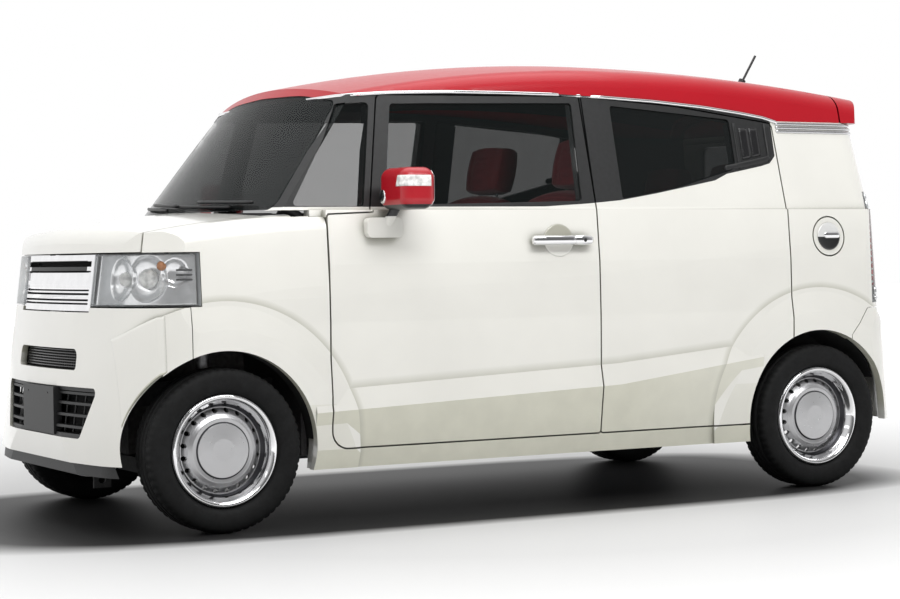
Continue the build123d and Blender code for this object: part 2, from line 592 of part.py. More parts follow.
# Rear axle beam with trailing arms, springs and spindles
BEAM_X = -985.0
PIVOT = (-905.0, 520.0, 330.0)
beam = rod((BEAM_X, -520, 310), (BEAM_X, 520, 310), 34)
for sign, side in SIDES:
    y = sign * PIVOT[1]
    beam += rod((PIVOT[0] - 5, y, PIVOT[2]), (REAR_AXLE_X, y, TYRE_R), 26)
    beam += block(PIVOT[0] - 30, PIVOT[0] + 16, y - 30, y + 30, PIVOT[2] - 25, REAR_FLOOR_Z[0] - SEAT)
    beam += rod((REAR_AXLE_X, sign * 500, TYRE_R), (REAR_AXLE_X, sign * SPINDLE_END, TYRE_R), SPINDLE_R)
    beam += rod((REAR_AXLE_X, sign * 500, TYRE_R), (REAR_AXLE_X, sign * 625, TYRE_R), 34)
    beam += rod((-1150, sign * 420, 300), (-1150, sign * 420, REAR_FLOOR_Z[0] - SEAT), 42)
    beam += block(-1190, -1110, min(sign * 400, sign * 540), max(sign * 400, sign * 540), 290, 320)
nodes["rear_axle"] = beam

# Wheel arch liners
liners = []
for axle_x, name in AXLES:
    inner_y = 630 if name == "front" else 478
    ring = disc_y(axle_x, TYRE_R, LINER_R + LINER_T, inner_y, 740) - disc_y(axle_x, TYRE_R, LINER_R, inner_y, 740)
    if name == "rear":
        ring += disc_y(axle_x, TYRE_R, LINER_R + LINER_T, inner_y, inner_y + LINER_T)
        ring -= block(-1900, 0, 0, 900, 0, REAR_FLOOR_Z[0])
    depth = BUMPER_T + SEAT if name == "front" else REBATE_T + 8
    ring = ring & lower(depth) & block(-1900, 1900, 0, 900, 300, 900)
    if name == "front":
        ring -= block(LAMP_REAR_X - SEAM, 1900, 0, 900, 640, 900)
    liners += both_sides(ring)
nodes["arch_liners"] = liners

# Floor, rear panel and fuel tank
floor = block(KICK_X[0], BULKHEAD_X[0] - SEAT, -700, 700, *FLOOR_Z)
floor += block(*KICK_X, -700, 700, FLOOR_Z[0], REAR_FLOOR_Z[1])
floor += block(-1640, KICK_X[1], -700, 700, *REAR_FLOOR_Z)
floor = floor & lower(WALL_T + SEAT)
REAR_FLANGE_T = 95.0
rear_panel = (lower(REAR_FLANGE_T + SEAT) - lower(REAR_FLANGE_T + 26)) & block(-1900, -1450, -560, 560, 415, 700)
floor += rear_panel
for sign, side in SIDES:
    wheel_box = disc_y(REAR_AXLE_X, TYRE_R, LINER_R + LINER_T + SEAT, *sorted((sign * (478 - SEAT), sign * 900)))
    floor -= wheel_box
nodes["floor_pan"] = floor
nodes["fuel_tank"] = fillet(block(-100, 420, -500, 110, 165, FLOOR_Z[0] - SEAT).edges().filter_by(Axis.Z), 40)
pipe = rod((1000, 190, 205), (-1640, 190, 205), 20)
pipe += fillet(block(-1560, -1330, 90, 420, 205, 345).edges().filter_by(Axis.Y), 40)
for x in (700, -700):
    pipe += block(x - 12, x + 12, 184, 196, 205, FLOOR_Z[0] - SEAT)
pipe += block(-1460, -1430, 250, 262, 300, REAR_FLOOR_Z[0] - SEAT)
nodes["exhaust"] = pipe

# Tailgate, its glass and the spoiler
rear_layers = (lower(0) - lower(TAILGATE_T)) & block(-1900, -1400, -900, 900, 600, BELT_Z)
rear_layers += (cabin(0) - cabin(TAILGATE_T)) & block(-1900, -1400, -900, 900, BELT_Z, 1600)
inner_layers = (lower(TAILGATE_T) - lower(TAILGATE_INNER_T)) & block(-1900, -1400, -900, 900, 600, BELT_Z)
inner_layers += (cabin(TAILGATE_T) - cabin(TAILGATE_INNER_T)) & block(-1900, -1400, -900, 900, BELT_Z, 1600)
tailgate = rear_layers & along_x(tailgate_face, -1900, -1400)
tailgate += inner_layers & along_x(offset(tailgate_face, -30), -1900, -1400)
nodes["tailgate"] = tailgate - along_x(tailgate_window_face, -1900, -1400)
tailgate_glass = cabin(GLASS_OUT) - cabin(GLASS_IN)
tailgate_glass &= block(-1900, -1400, -900, 900, BELT_Z, 1600)
lower_glass = (lower(GLASS_OUT) - lower(GLASS_IN)) & block(-1900, -1400, -900, 900, 900, BELT_Z)
tailgate_glass = (tailgate_glass + lower_glass) & along_x(offset(tailgate_window_face, -SEAT), -1900, -1400)
nodes["tailgate_glass"] = tailgate_glass
spoiler = (roof_block(0) - roof_block(SPOILER_T)) & block(-1900, ROOF_SPLIT_X - SHUT - 2, -900, 900, RAIL_REAR[1] + SEAT, 1900)
nodes["spoiler"] = spoiler
tail_lamp = (lower(0) - lower(TAIL_LAMP_T)) & lamp_box & block(-1900, 0, 0, 900, 0, BELT_Z)
tail_lamp += (cabin(0) - cabin(TAIL_LAMP_T)) & lamp_box & block(-1900, 0, 0, 900, BELT_Z, 1600)
nodes["tail_lamps"] = both_sides(tail_lamp)
rear_half = (flank_left(BUMPER_T) & along_y(rear_bumper_face, 0, 900)) & block(-1900, 0, 0, 900, REAR_BUMPER_FOOT_Z, 900)
rear_half -= disc_y(REAR_AXLE_X, TYRE_R, ARCH_R, 0, 900)
flange = (lower(BUMPER_T) - lower(REAR_FLANGE_T)) & block(-1900, -1400, -540, 540, 676, 697)
# Buffers on the rear bumper's top edge that the shut tailgate lies on
GATE_BUFFER = (-1648.0, 300.0, 8.0)
gate_x, gate_y, gate_r = GATE_BUFFER
gate_buffer = rod((gate_x, gate_y, 685), (gate_x, gate_y, TAILGATE[0][1] - SEAT), gate_r)
nodes["rear_bumper"] = rear_half + mirror(rear_half, about=Plane.XZ) + flange + both_sides(gate_buffer)

# Fuel lid
lid_x, lid_z, lid_r = FUEL_LID
nodes["fuel_lid"] = (lower(0) - lower(FUEL_LID_T)) & disc_y(lid_x, lid_z, lid_r - SHUT, 0, 900)

# Cabin furniture
SEAT_Y = 340.0
SEAT_W = 480.0


def seat_block(x_low, x_high, width, z_low, z_high, radius, lean=0.0):
    cushion = fillet(Box(x_high - x_low, width, z_high - z_low).edges(), radius)
    return Pos((x_low + x_high) / 2, 0, (z_low + z_high) / 2) * (Rot(0, lean, 0) * cushion)


front_seat = seat_block(-270, 270, SEAT_W, 480, 630, 40)
front_seat += seat_block(-325, -195, SEAT_W, 590, 1150, 40, -14)
front_seat += seat_block(-425, -330, 270, 1150, 1345, 35, -12)
front_seat += rod((-345, -70, 1080), (-375, -70, 1200), 7)
front_seat += rod((-345, 70, 1080), (-375, 70, 1200), 7)
front_seat += block(-200, 200, -160, 160, FLOOR_Z[1] + SEAT, 500)
nodes["front_seats"] = [Pos(0, SEAT_Y, 0) * front_seat, Pos(0, -SEAT_Y, 0) * front_seat]
rear_seat = seat_block(-1060, -580, 920, 470, 620, 40)
rear_seat += seat_block(-1150, -1030, 920, 580, 1120, 40, -14)
for y in (-250, 250):
    rear_seat += Pos(0, y, 0) * seat_block(-1235, -1150, 250, 1100, 1290, 32, -12)
rear_seat += block(-1040, -900, -440, 440, REAR_FLOOR_Z[1] + SEAT, 500)
nodes["rear_seat"] = rear_seat
dash_face = outline((
    (BULKHEAD_X[0] - SEAT, 700, 0), (BULKHEAD_X[0] - SEAT, 1062, 0), (760, 1062, 60),
    (610, 1000, 60), (640, 840, 50), (760, 700, 40),
))
nodes["dashboard"] = along_y(dash_face, -620, 620) & lower(WALL_T + SEAT)
wheel_plane = Plane(origin=COLUMN, z_dir=Vector(-math.cos(math.radians(COLUMN_TILT)), 0, math.sin(math.radians(COLUMN_TILT))))
rim = wheel_plane * Torus(RIM_R, 15)
hub = extrude(wheel_plane.offset(-30) * Circle(60), 40)
spokes = [extrude(wheel_plane.offset(-12) * (Rot(0, 0, a) * (Pos(RIM_R / 2, 0) * Rectangle(RIM_R, 36))), 16) for a in (0, 180, 270)]
steering_wheel = rim + hub + spokes
column_end = Vector(*COLUMN) - wheel_plane.z_dir * 33
shaft = rod(tuple(column_end + wheel_plane.z_dir * 10), tuple(column_end - wheel_plane.z_dir * 60), 14)
nodes["steering_wheel"] = steering_wheel + shaft
column_foot = column_end - wheel_plane.z_dir * 190
column = rod(tuple(column_end - wheel_plane.z_dir * 8), tuple(column_foot), 40)
column -= rod(tuple(column_end + wheel_plane.z_dir), tuple(column_end - wheel_plane.z_dir * 62), 14 + RUNNING)
nodes["dashboard"] = nodes["dashboard"] + column

# Wheels: tyre and rim profiles as radius, distance outboard of the tread's middle, corner radius
TYRE_PROFILE = (
    (180.4, -52, 0), (195, -52.4, 0), (206, -69, 0), (226, -76, 0), (247, -77.5, 0), (262, -75, 0), (273, -69, 0),
    (TYRE_R, -57, 0), (TYRE_R, 57, 0), (273, 69, 0), (262, 75, 0), (247, 77.5, 0), (226, 76, 0), (206, 69, 0),
    (195, 52.4, 0), (180.4, 52, 0),
)
RIM_PROFILE = (
    (191, -60, 0), (191, -55, 0), (180, -53, 0), (176, -30, 0), (164, -18, 0), (164, 18, 0), (176, 36, 0),
    (180, 53, 0), (191, 55, 0), (191, 60, 2), (183, 60, 2), (172, 42, 6), (157, 22, 6), (146, 12, 6),
    (124, 32, 10), (110, 40, 6), (96, 38, 0), (92, 43, 2), (40, 46, 60), (0, 46, 0), (0, 34, 0),
    (SPINDLE_R + RUNNING, 34, 0), (SPINDLE_R + RUNNING, -6, 0), (46, -6, 0), (46, 18, 0), (100, 30, 0), (118, 24, 0),
    (140, 2, 0), (157, 2, 0), (156, -16, 0), (168, -32, 0), (172, -53, 0), (183, -60, 0),
)
HOLE_COUNT = 20
HOLE_R = 8.5
HOLE_RING_R = 137.0


def turned(profile):
    """Solid of a wheel profile turned about the Y axis through the origin."""
    points = [(0, y, r) for r, y, _ in profile]
    face = make_face(FilletPolyline(*points, radius=[f for _, _, f in profile], close=True))
    return revolve(face, Axis((0, 0, 0), (0, 1, 0)))


tyre = turned(TYRE_PROFILE)
wheel = turned(RIM_PROFILE)
for index in range(HOLE_COUNT):
    angle = 2 * math.pi * (index + 0.5) / HOLE_COUNT
    hole_x = HOLE_RING_R * math.cos(angle)
    hole_z = HOLE_RING_R * math.sin(angle)
    wheel -= rod((hole_x, -30, hole_z), (hole_x, 60, hole_z), HOLE_R)
for axle_x, end in AXLES:
    for sign, side in SIDES:
        place = Pos(axle_x, sign * WHEEL_Y, TYRE_R)
        nodes["tyre_" + end + "_" + side] = place * (tyre if sign > 0 else mirror(tyre, about=Plane.XZ))
        nodes["wheel_" + end + "_" + side] = place * (wheel if sign > 0 else mirror(wheel, about=Plane.XZ))

# Aerial
AERIAL_X = -1387.0
aerial_foot = (AERIAL_X, 0, HEIGHT - (AERIAL_X - ROOF_PEAK_X) ** 2 / (2 * ROOF_REAR_R) - 20)
aerial = rod(aerial_foot, (-1494, 0, 1760), 5) + rod(aerial_foot, (-1425, 0, 1655), 15)
nodes["aerial"] = aerial - roof_block(-SEAT)

os.makedirs("parts", exist_ok=True)
for name, shape in nodes.items():
    solids = shape if isinstance(shape, list) else [shape]
    whole = Compound(children=[s for item in solids for s in item.solids()])
    export_step(whole, "parts/" + name + ".step")
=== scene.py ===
import math

import bmesh
import bpy
from mathutils import Matrix, Vector
from mathutils.bvhtree import BVHTree


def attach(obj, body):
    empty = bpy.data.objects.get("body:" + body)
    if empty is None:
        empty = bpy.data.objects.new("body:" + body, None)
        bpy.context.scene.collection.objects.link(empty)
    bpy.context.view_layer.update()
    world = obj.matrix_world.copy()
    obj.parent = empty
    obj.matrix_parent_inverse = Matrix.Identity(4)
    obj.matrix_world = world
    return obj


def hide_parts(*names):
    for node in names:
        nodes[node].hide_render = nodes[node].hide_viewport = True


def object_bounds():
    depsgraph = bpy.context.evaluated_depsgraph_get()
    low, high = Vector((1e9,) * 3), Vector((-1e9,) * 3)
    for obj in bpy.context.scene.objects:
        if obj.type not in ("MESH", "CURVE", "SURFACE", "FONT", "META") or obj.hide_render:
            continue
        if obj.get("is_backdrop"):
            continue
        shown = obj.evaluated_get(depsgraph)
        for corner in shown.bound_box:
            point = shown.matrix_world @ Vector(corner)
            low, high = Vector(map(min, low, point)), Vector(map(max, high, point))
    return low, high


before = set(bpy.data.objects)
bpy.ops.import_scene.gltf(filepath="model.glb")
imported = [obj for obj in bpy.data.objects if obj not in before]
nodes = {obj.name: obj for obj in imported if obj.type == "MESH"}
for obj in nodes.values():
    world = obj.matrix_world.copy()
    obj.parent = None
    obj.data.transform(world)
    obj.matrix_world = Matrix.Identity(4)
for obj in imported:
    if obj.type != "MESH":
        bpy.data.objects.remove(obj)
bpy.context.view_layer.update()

# Shared sizes in metres, from the same frame as the solids
AXLES = {"front": 1.283, "rear": -1.237}
TRACK_HALF = 0.6525
HUB_Z = 0.2785
SIDES = {"left": 1, "right": -1}
FRONT_X, FRONT_Z, FRONT_LEAN, FRONT_BOW = 1.6975, 0.400, math.tan(math.radians(7.2)), 2.6


# Shading helpers

def add(tree, kind, inputs=(), **settings):
    """New node: its settings, and its inputs by name or number, each a value or the socket that feeds it."""
    made = tree.nodes.new(f"ShaderNode{kind}")
    for key, value in settings.items():
        setattr(made, key, value)
    for key, value in dict(inputs).items():
        if isinstance(value, bpy.types.NodeSocket):
            wire(tree, value, made.inputs[key])
        else:
            made.inputs[key].default_value = value
    return made


def wire(tree, source, target):
    tree.links.new(source, target)


def material(name, roughness, metallic=0.0, coat=0.0):
    made = bpy.data.materials.new(name)
    made.use_nodes = True
    shader = made.node_tree.nodes["Principled BSDF"]
    for key, value in (("Roughness", roughness), ("Metallic", metallic), ("Coat Weight", coat),
                       ("Coat Roughness", 0.06)):
        shader.inputs[key].default_value = value
    return made, made.node_tree, shader


def place(tree):
    """Object coordinates, which are the shared frame for every piece."""
    return add(tree, "TexCoord").outputs["Object"]


def noise(tree, scale, detail=3.0):
    return add(tree, "TexNoise", {"Scale": scale, "Detail": detail, "Vector": place(tree)}).outputs["Fac"]


def ramp(tree, factor, stops):
    made = add(tree, "ValToRGB", {"Fac": factor})
    while len(made.color_ramp.elements) < len(stops):
        made.color_ramp.elements.new(0.5)
    for element, (position, colour) in zip(made.color_ramp.elements, stops):
        element.position = position
        element.color = (*colour, 1.0)
    return made.outputs["Color"]


def mottle(tree, colour, spread, scale, detail=3.0):
    """A colour that drifts a little about its mean."""
    low = tuple(c * (1 - spread) for c in colour)
    high = tuple(min(1.0, c * (1 + spread)) for c in colour)
    return ramp(tree, noise(tree, scale, detail), [(0.35, low), (0.65, high)])


def bump(tree, height, strength, distance):
    return add(tree, "Bump", {"Strength": strength, "Distance": distance, "Height": height}).outputs["Normal"]


def relief(tree, shader, height, strength, distance):
    wire(tree, bump(tree, height, strength, distance), shader.inputs["Normal"])


def orange_peel(tree, shader):
    relief(tree, shader, noise(tree, 700.0, 1.0), 0.012, 0.001)


def blend_colour(tree, factor, first, second):
    return add(tree, "Mix", {0: factor, 6: first, 7: second}, data_type="RGBA").outputs[2]


def math_node(tree, operation, *values):
    return add(tree, "Math", enumerate(values), operation=operation).outputs[0]


def vector_math(tree, operation, *values):
    made = add(tree, "VectorMath", enumerate(values), operation=operation)
    return made.outputs["Value" if operation == "LENGTH" else "Vector"]


def ranged(tree, value, low, high, to_low=0.0, to_high=1.0):
    """Value carried from one pair of limits to another, and held there."""
    limits = {"From Min": low, "From Max": high, "To Min": to_low, "To Max": to_high}
    return add(tree, "MapRange", {"Value": value, **limits}).outputs["Result"]


def spread_value(tree, factor, low, high):
    return ranged(tree, factor, 0.0, 1.0, low, high)


def split(tree, vector):
    """X, Y and Z of a vector."""
    return add(tree, "SeparateXYZ", {0: vector}).outputs


def facing(tree):
    """X, Y and Z of the way that a face looks."""
    return split(tree, add(tree, "TexCoord").outputs["Normal"])


def height_along(tree, x, points, base=0.0):
    """Height, over a base, of a line of x, z points."""
    first, last = points[0][0], points[-1][0]
    stops = [((p - first) / (last - first), (z - base,) * 3) for p, z in points]
    return ramp(tree, ranged(tree, x, first, last), stops)


def tint(tree, shader, colour):
    wire(tree, colour, shader.inputs["Base Color"])


def roughen(tree, shader, low, high, scale, detail=3.0):
    """Roughness that drifts between two limits."""
    wire(tree, spread_value(tree, noise(tree, scale, detail), low, high), shader.inputs["Roughness"])


def opened(made):
    """Tree and shader of a paint, and the socket of its colour."""
    tree = made.node_tree
    shader = tree.nodes["Principled BSDF"]
    return tree, shader, shader.inputs["Base Color"].links[0].from_socket


IVORY = (0.80, 0.79, 0.74)
RED = (0.41, 0.004, 0.013)
BLACK = (0.010, 0.0105, 0.011)
TRIM = (0.035, 0.033, 0.034)


def toned(tree, tone, shares, spread=0.03):
    """A darker mottle of a paint's tone, used for its painted shade."""
    return mottle(tree, tuple(c * s for c, s in zip(tone, shares)), spread, 12.0)


def with_painted_shade(tree, colour, tone):
    """Paint with painted shade, deeper in seams and on faces that turn down."""
    # Painted shade: seams found by ambient occlusion, and faces that turn down, take a darker tone of the
    # paint.
    seam = add(tree, "AmbientOcclusion", {"Distance": 0.04}, samples=8)
    deep = ranged(tree, seam.outputs["AO"], 0.92, 0.45)
    down = ranged(tree, facing(tree)["Z"], -0.01, -0.14)
    down_shade = toned(tree, tone, (0.82, 0.82, 0.73))
    seam_shade = toned(tree, tone, (0.34, 0.34, 0.30), 0.05)
    return blend_colour(tree, deep, blend_colour(tree, down, colour, down_shade), seam_shade)


# Soft crease along the side, as x and height, and how far the panel leans in above it
SHOULDER = ((-1.70, 1.055), (-1.50, 1.018), (-1.10, 0.938), (-0.62, 0.890), (-0.23, 0.850), (0.42, 0.815),
            (0.90, 0.788), (1.70, 0.770))
SHOULDER_LEAN, CABIN_LEAN, BELT_Z, SHOULDER_BASE = 0.06, 0.24, 1.1, 0.5


def shoulder(tree, shader):
    """Tilt of the panel above the shoulder crease, under the fine grain of the paint."""
    where = split(tree, place(tree))
    line = height_along(tree, where["X"], SHOULDER, SHOULDER_BASE)
    over = math_node(tree, "SUBTRACT", math_node(tree, "SUBTRACT", where["Z"], SHOULDER_BASE), line)
    room = math_node(tree, "SUBTRACT", BELT_Z - SHOULDER_BASE, line)
    share = math_node(tree, "MAXIMUM", math_node(tree, "DIVIDE", over, room), 0.0)
    share = math_node(tree, "MINIMUM", share, 1.0)
    bend = math_node(tree, "MULTIPLY", share, (CABIN_LEAN - SHOULDER_LEAN) / 2)
    fall = math_node(tree, "MULTIPLY", math_node(tree, "ADD", bend, SHOULDER_LEAN), share)
    lean = math_node(tree, "MULTIPLY", math_node(tree, "MULTIPLY", fall, room), -1.0)
    grain = shader.inputs["Normal"].links[0].from_node
    wire(tree, bump(tree, lean, 1.0, 1.0), grain.inputs["Normal"])


def from_hub(tree, x, side):
    """Distance from a wheel's axle line."""
    shift = vector_math(tree, "SUBTRACT", place(tree), (x, side * TRACK_HALF, HUB_Z))
    return vector_math(tree, "LENGTH", vector_math(tree, "MULTIPLY", shift, (1.0, 0.0, 1.0)))


# Top of the ledge along the doors, as x and height
LEDGE = ((-0.960, 0.578), (-0.300, 0.519), (0.950, 0.466))
FLARE_R = 0.505


def falling(tree, value, reach):
    """One where the value is zero, none at the reach and below zero."""
    over = math_node(tree, "GREATER_THAN", value, 0.0)
    return math_node(tree, "MULTIPLY", ranged(tree, value, 0.0, reach, 1.0, 0.0), over)


def rooted(tree, colour, tone):
    """Paint with the soft shade that lies above the flares and the ledge."""
    where = split(tree, place(tree))
    line = height_along(tree, where["X"], LEDGE)
    shade = falling(tree, math_node(tree, "SUBTRACT", where["Z"], line), 0.030)
    for x in AXLES.values():
        outside = math_node(tree, "SUBTRACT", from_hub(tree, x, 1), FLARE_R)
        shade = math_node(tree, "MULTIPLY", shade, math_node(tree, "GREATER_THAN", outside, 0.0))
        shade = math_node(tree, "MAXIMUM", shade, falling(tree, outside, 0.024))
    deep = toned(tree, tone, (0.60, 0.60, 0.54))
    return blend_colour(tree, math_node(tree, "MULTIPLY", shade, 0.75), colour, deep)


def lined(name, colour, coat, gloss):
    """Gloss paint outside, dark lining on the faces that look down into the cabin."""
    made = paint(name, colour, coat, gloss)
    tree, shader, outer = opened(made)
    under = math_node(tree, "LESS_THAN", facing(tree)["Z"], -0.3)
    tint(tree, shader, blend_colour(tree, under, outer, mottle(tree, TRIM, 0.25, 200.0)))
    return made


def paint(name, colour, coat=1.0, gloss=0.5):
    made, tree, shader = material(name, 0.32, coat=coat)
    shader.inputs["Specular IOR Level"].default_value = gloss
    # The colour carries painted shade in seams and on faces that turn down.
    tint(tree, shader, with_painted_shade(tree, mottle(tree, colour, 0.02, 3.0), colour))
    roughen(tree, shader, 0.28, 0.36, 40.0)
    orange_peel(tree, shader)
    return made


def side_paint(name, colour):
    made = paint(name, colour)
    tree, shader, plain = opened(made)
    tint(tree, shader, rooted(tree, plain, colour))
    shoulder(tree, shader)
    return made


# Lower edge of the dark window band, as x and height over one metre, and where its ramp starts
BELT_REAR_X = -1.2
BELT = ((-1.096, 0.460), (-1.093, 0.300), (-1.062, 0.270), (-1.020, 0.259), (-0.845, 0.227), (-0.784, 0.201),
        (-0.505, 0.151), (-0.333, 0.124), (-0.192, 0.112), (0.000, 0.101))


def two_tone(name):
    """Ivory below the belt and on the rear quarter, satin black round the windows, dark trim inside."""
    made, tree, shader = material(name, 0.32, coat=1.0)
    where = split(tree, place(tree))
    stops = [((x - BELT_REAR_X) / -BELT_REAR_X, (h, h, h)) for x, h in BELT]
    edge = ramp(tree, ranged(tree, where["X"], BELT_REAR_X, 0.0), stops)
    above = math_node(tree, "GREATER_THAN", math_node(tree, "SUBTRACT", where["Z"], 1.0), edge)
    inward = math_node(tree, "MULTIPLY", facing(tree)["Y"], where["Y"])
    inside = math_node(tree, "LESS_THAN", inward, -0.12)
    # The ivory carries painted shade in seams, on faces that turn down, and above the flares and the ledge.
    ivory = rooted(tree, with_painted_shade(tree, mottle(tree, IVORY, 0.02, 3.0), IVORY), IVORY)
    outside = blend_colour(tree, above, ivory, mottle(tree, BLACK, 0.2, 60.0))
    tint(tree, shader, blend_colour(tree, inside, outside, mottle(tree, TRIM, 0.25, 200.0)))
    dull = math_node(tree, "MAXIMUM", above, inside)
    wire(tree, spread_value(tree, dull, 0.32, 0.48), shader.inputs["Roughness"])
    wire(tree, spread_value(tree, dull, 1.0, 0.06), shader.inputs["Coat Weight"])
    orange_peel(tree, shader)
    shoulder(tree, shader)
    return made


def by_height(name, bands, coat=1.0):
    """Gloss paint whose colour changes with height: each band is its lower edge in metres and its colour."""
    made, tree, shader = material(name, 0.32, coat=coat)
    z = split(tree, place(tree))["Z"]
    colour = mottle(tree, bands[0][1], 0.03, 4.0)
    for edge, tone in bands[1:]:
        over = math_node(tree, "GREATER_THAN", z, edge)
        colour = blend_colour(tree, over, colour, mottle(tree, tone, 0.03, 4.0))
    tint(tree, shader, colour)
    roughen(tree, shader, 0.26, 0.36, 40.0)
    orange_peel(tree, shader)
    return made


def grained(name, colour, roughness, scale, strength, metallic=0.0, spread=0.25):
    """Moulded or cast surface with a fine grain."""
    made, tree, shader = material(name, roughness, metallic)
    tint(tree, shader, mottle(tree, colour, spread, scale / 4))
    roughen(tree, shader, roughness - 0.08, roughness + 0.08, scale / 2)
    relief(tree, shader, noise(tree, scale, 2.0), strength, 0.0006)
    return made


def bright(name, colour, roughness):
    """Plated metal with faint polishing marks."""
    made, tree, shader = material(name, roughness, metallic=1.0)
    tint(tree, shader, mottle(tree, colour, 0.03, 20.0))
    roughen(tree, shader, roughness * 0.6, roughness * 1.5, 300.0, 5.0)
    relief(tree, shader, noise(tree, 900.0, 2.0), 0.01, 0.0005)
    return made


def slotted(name, colour, roughness, z_low, z_high, y_half):
    """Plated metal with one dark slot across its middle."""
    made, tree, shader = material(name, roughness, metallic=1.0)
    where = split(tree, place(tree))
    over = math_node(tree, "GREATER_THAN", where["Z"], z_low)
    under = math_node(tree, "LESS_THAN", where["Z"], z_high)
    within = math_node(tree, "LESS_THAN", math_node(tree, "ABSOLUTE", where["Y"]), y_half)
    slot = math_node(tree, "MULTIPLY", math_node(tree, "MULTIPLY", over, under), within)
    metal = mottle(tree, colour, 0.03, 20.0)
    tint(tree, shader, blend_colour(tree, slot, metal, mottle(tree, BLACK, 0.2, 60.0)))
    wire(tree, spread_value(tree, slot, 1.0, 0.0), shader.inputs["Metallic"])
    rough = spread_value(tree, noise(tree, 300.0, 5.0), roughness * 0.6, roughness * 1.5)
    dull = math_node(tree, "MULTIPLY", slot, 0.5)
    wire(tree, math_node(tree, "MAXIMUM", rough, dull), shader.inputs["Roughness"])
    return made


def clear(name, colour, alpha):
    """Thin pane: mostly see-through face on, and a mirror at a glance."""
    made, tree, shader = material(name, 0.02)
    tint(tree, shader, mottle(tree, colour, 0.06, 2.0))
    weight = add(tree, "LayerWeight", {"Blend": 0.25})
    wire(tree, spread_value(tree, weight.outputs["Fresnel"], alpha, 0.95), shader.inputs["Alpha"])
    roughen(tree, shader, 0.01, 0.04, 8.0)
    return made


def woven(name, colour):
    """Seat cloth: two crossed yarns and a soft nap."""
    made, tree, shader = material(name, 0.85)
    shader.inputs["Sheen Weight"].default_value = 0.35
    heights = []
    for direction in ("X", "Z"):
        inputs = {"Scale": 130.0, "Distortion": 0.6, "Vector": place(tree)}
        wave = add(tree, "TexWave", inputs, wave_type="BANDS", bands_direction=direction)
        heights.append(wave.outputs["Fac"])
    yarn = math_node(tree, "MULTIPLY", *heights)
    dark = tuple(c * 0.55 for c in colour)
    worn = math_node(tree, "MULTIPLY", yarn, noise(tree, 30.0))
    tint(tree, shader, ramp(tree, worn, [(0.0, dark), (0.5, colour)]))
    relief(tree, shader, yarn, 0.25, 0.0012)
    return made


def wheel_paint(name, x, side):
    """Silver steel wheel, with painted shade for the groove round its cap and for the shadowed well behind its
    rim.
    """
    made, tree, shader = material(name, 0.3, metallic=0.85)
    reach = math_node(tree, "MULTIPLY", from_hub(tree, x, side), 5.0)
    silver, dark, plate = (0.56, 0.56, 0.57), (0.05, 0.05, 0.055), (0.60, 0.60, 0.61)
    # The two dark bands are painted shade: the groove round the cap and the well behind the rim.
    stops = [(0.0, plate), (0.455, plate), (0.466, dark), (0.482, dark), (0.492, silver), (0.725, silver),
             (0.745, dark), (0.80, dark), (0.86, silver), (1.0, silver)]
    tint(tree, shader, ramp(tree, reach, stops))
    roughen(tree, shader, 0.22, 0.40, 120.0)
    relief(tree, shader, noise(tree, 500.0, 2.0), 0.03, 0.0005)
    return made


def rubber(name, x, side):
    """Tyre rubber: dusty, with moulded rings on the wall."""
    made, tree, shader = material(name, 0.72)
    shader.inputs["Specular IOR Level"].default_value = 0.3
    rings = math_node(tree, "SINE", math_node(tree, "MULTIPLY", from_hub(tree, x, side), 2600.0))
    tint(tree, shader, mottle(tree, (0.0036, 0.0038, 0.0040), 0.4, 25.0, 6.0))
    roughen(tree, shader, 0.60, 0.85, 90.0, 5.0)
    height = math_node(tree, "ADD", math_node(tree, "MULTIPLY", rings, 0.25), noise(tree, 420.0, 3.0))
    relief(tree, shader, height, 0.22, 0.0006)
    return made


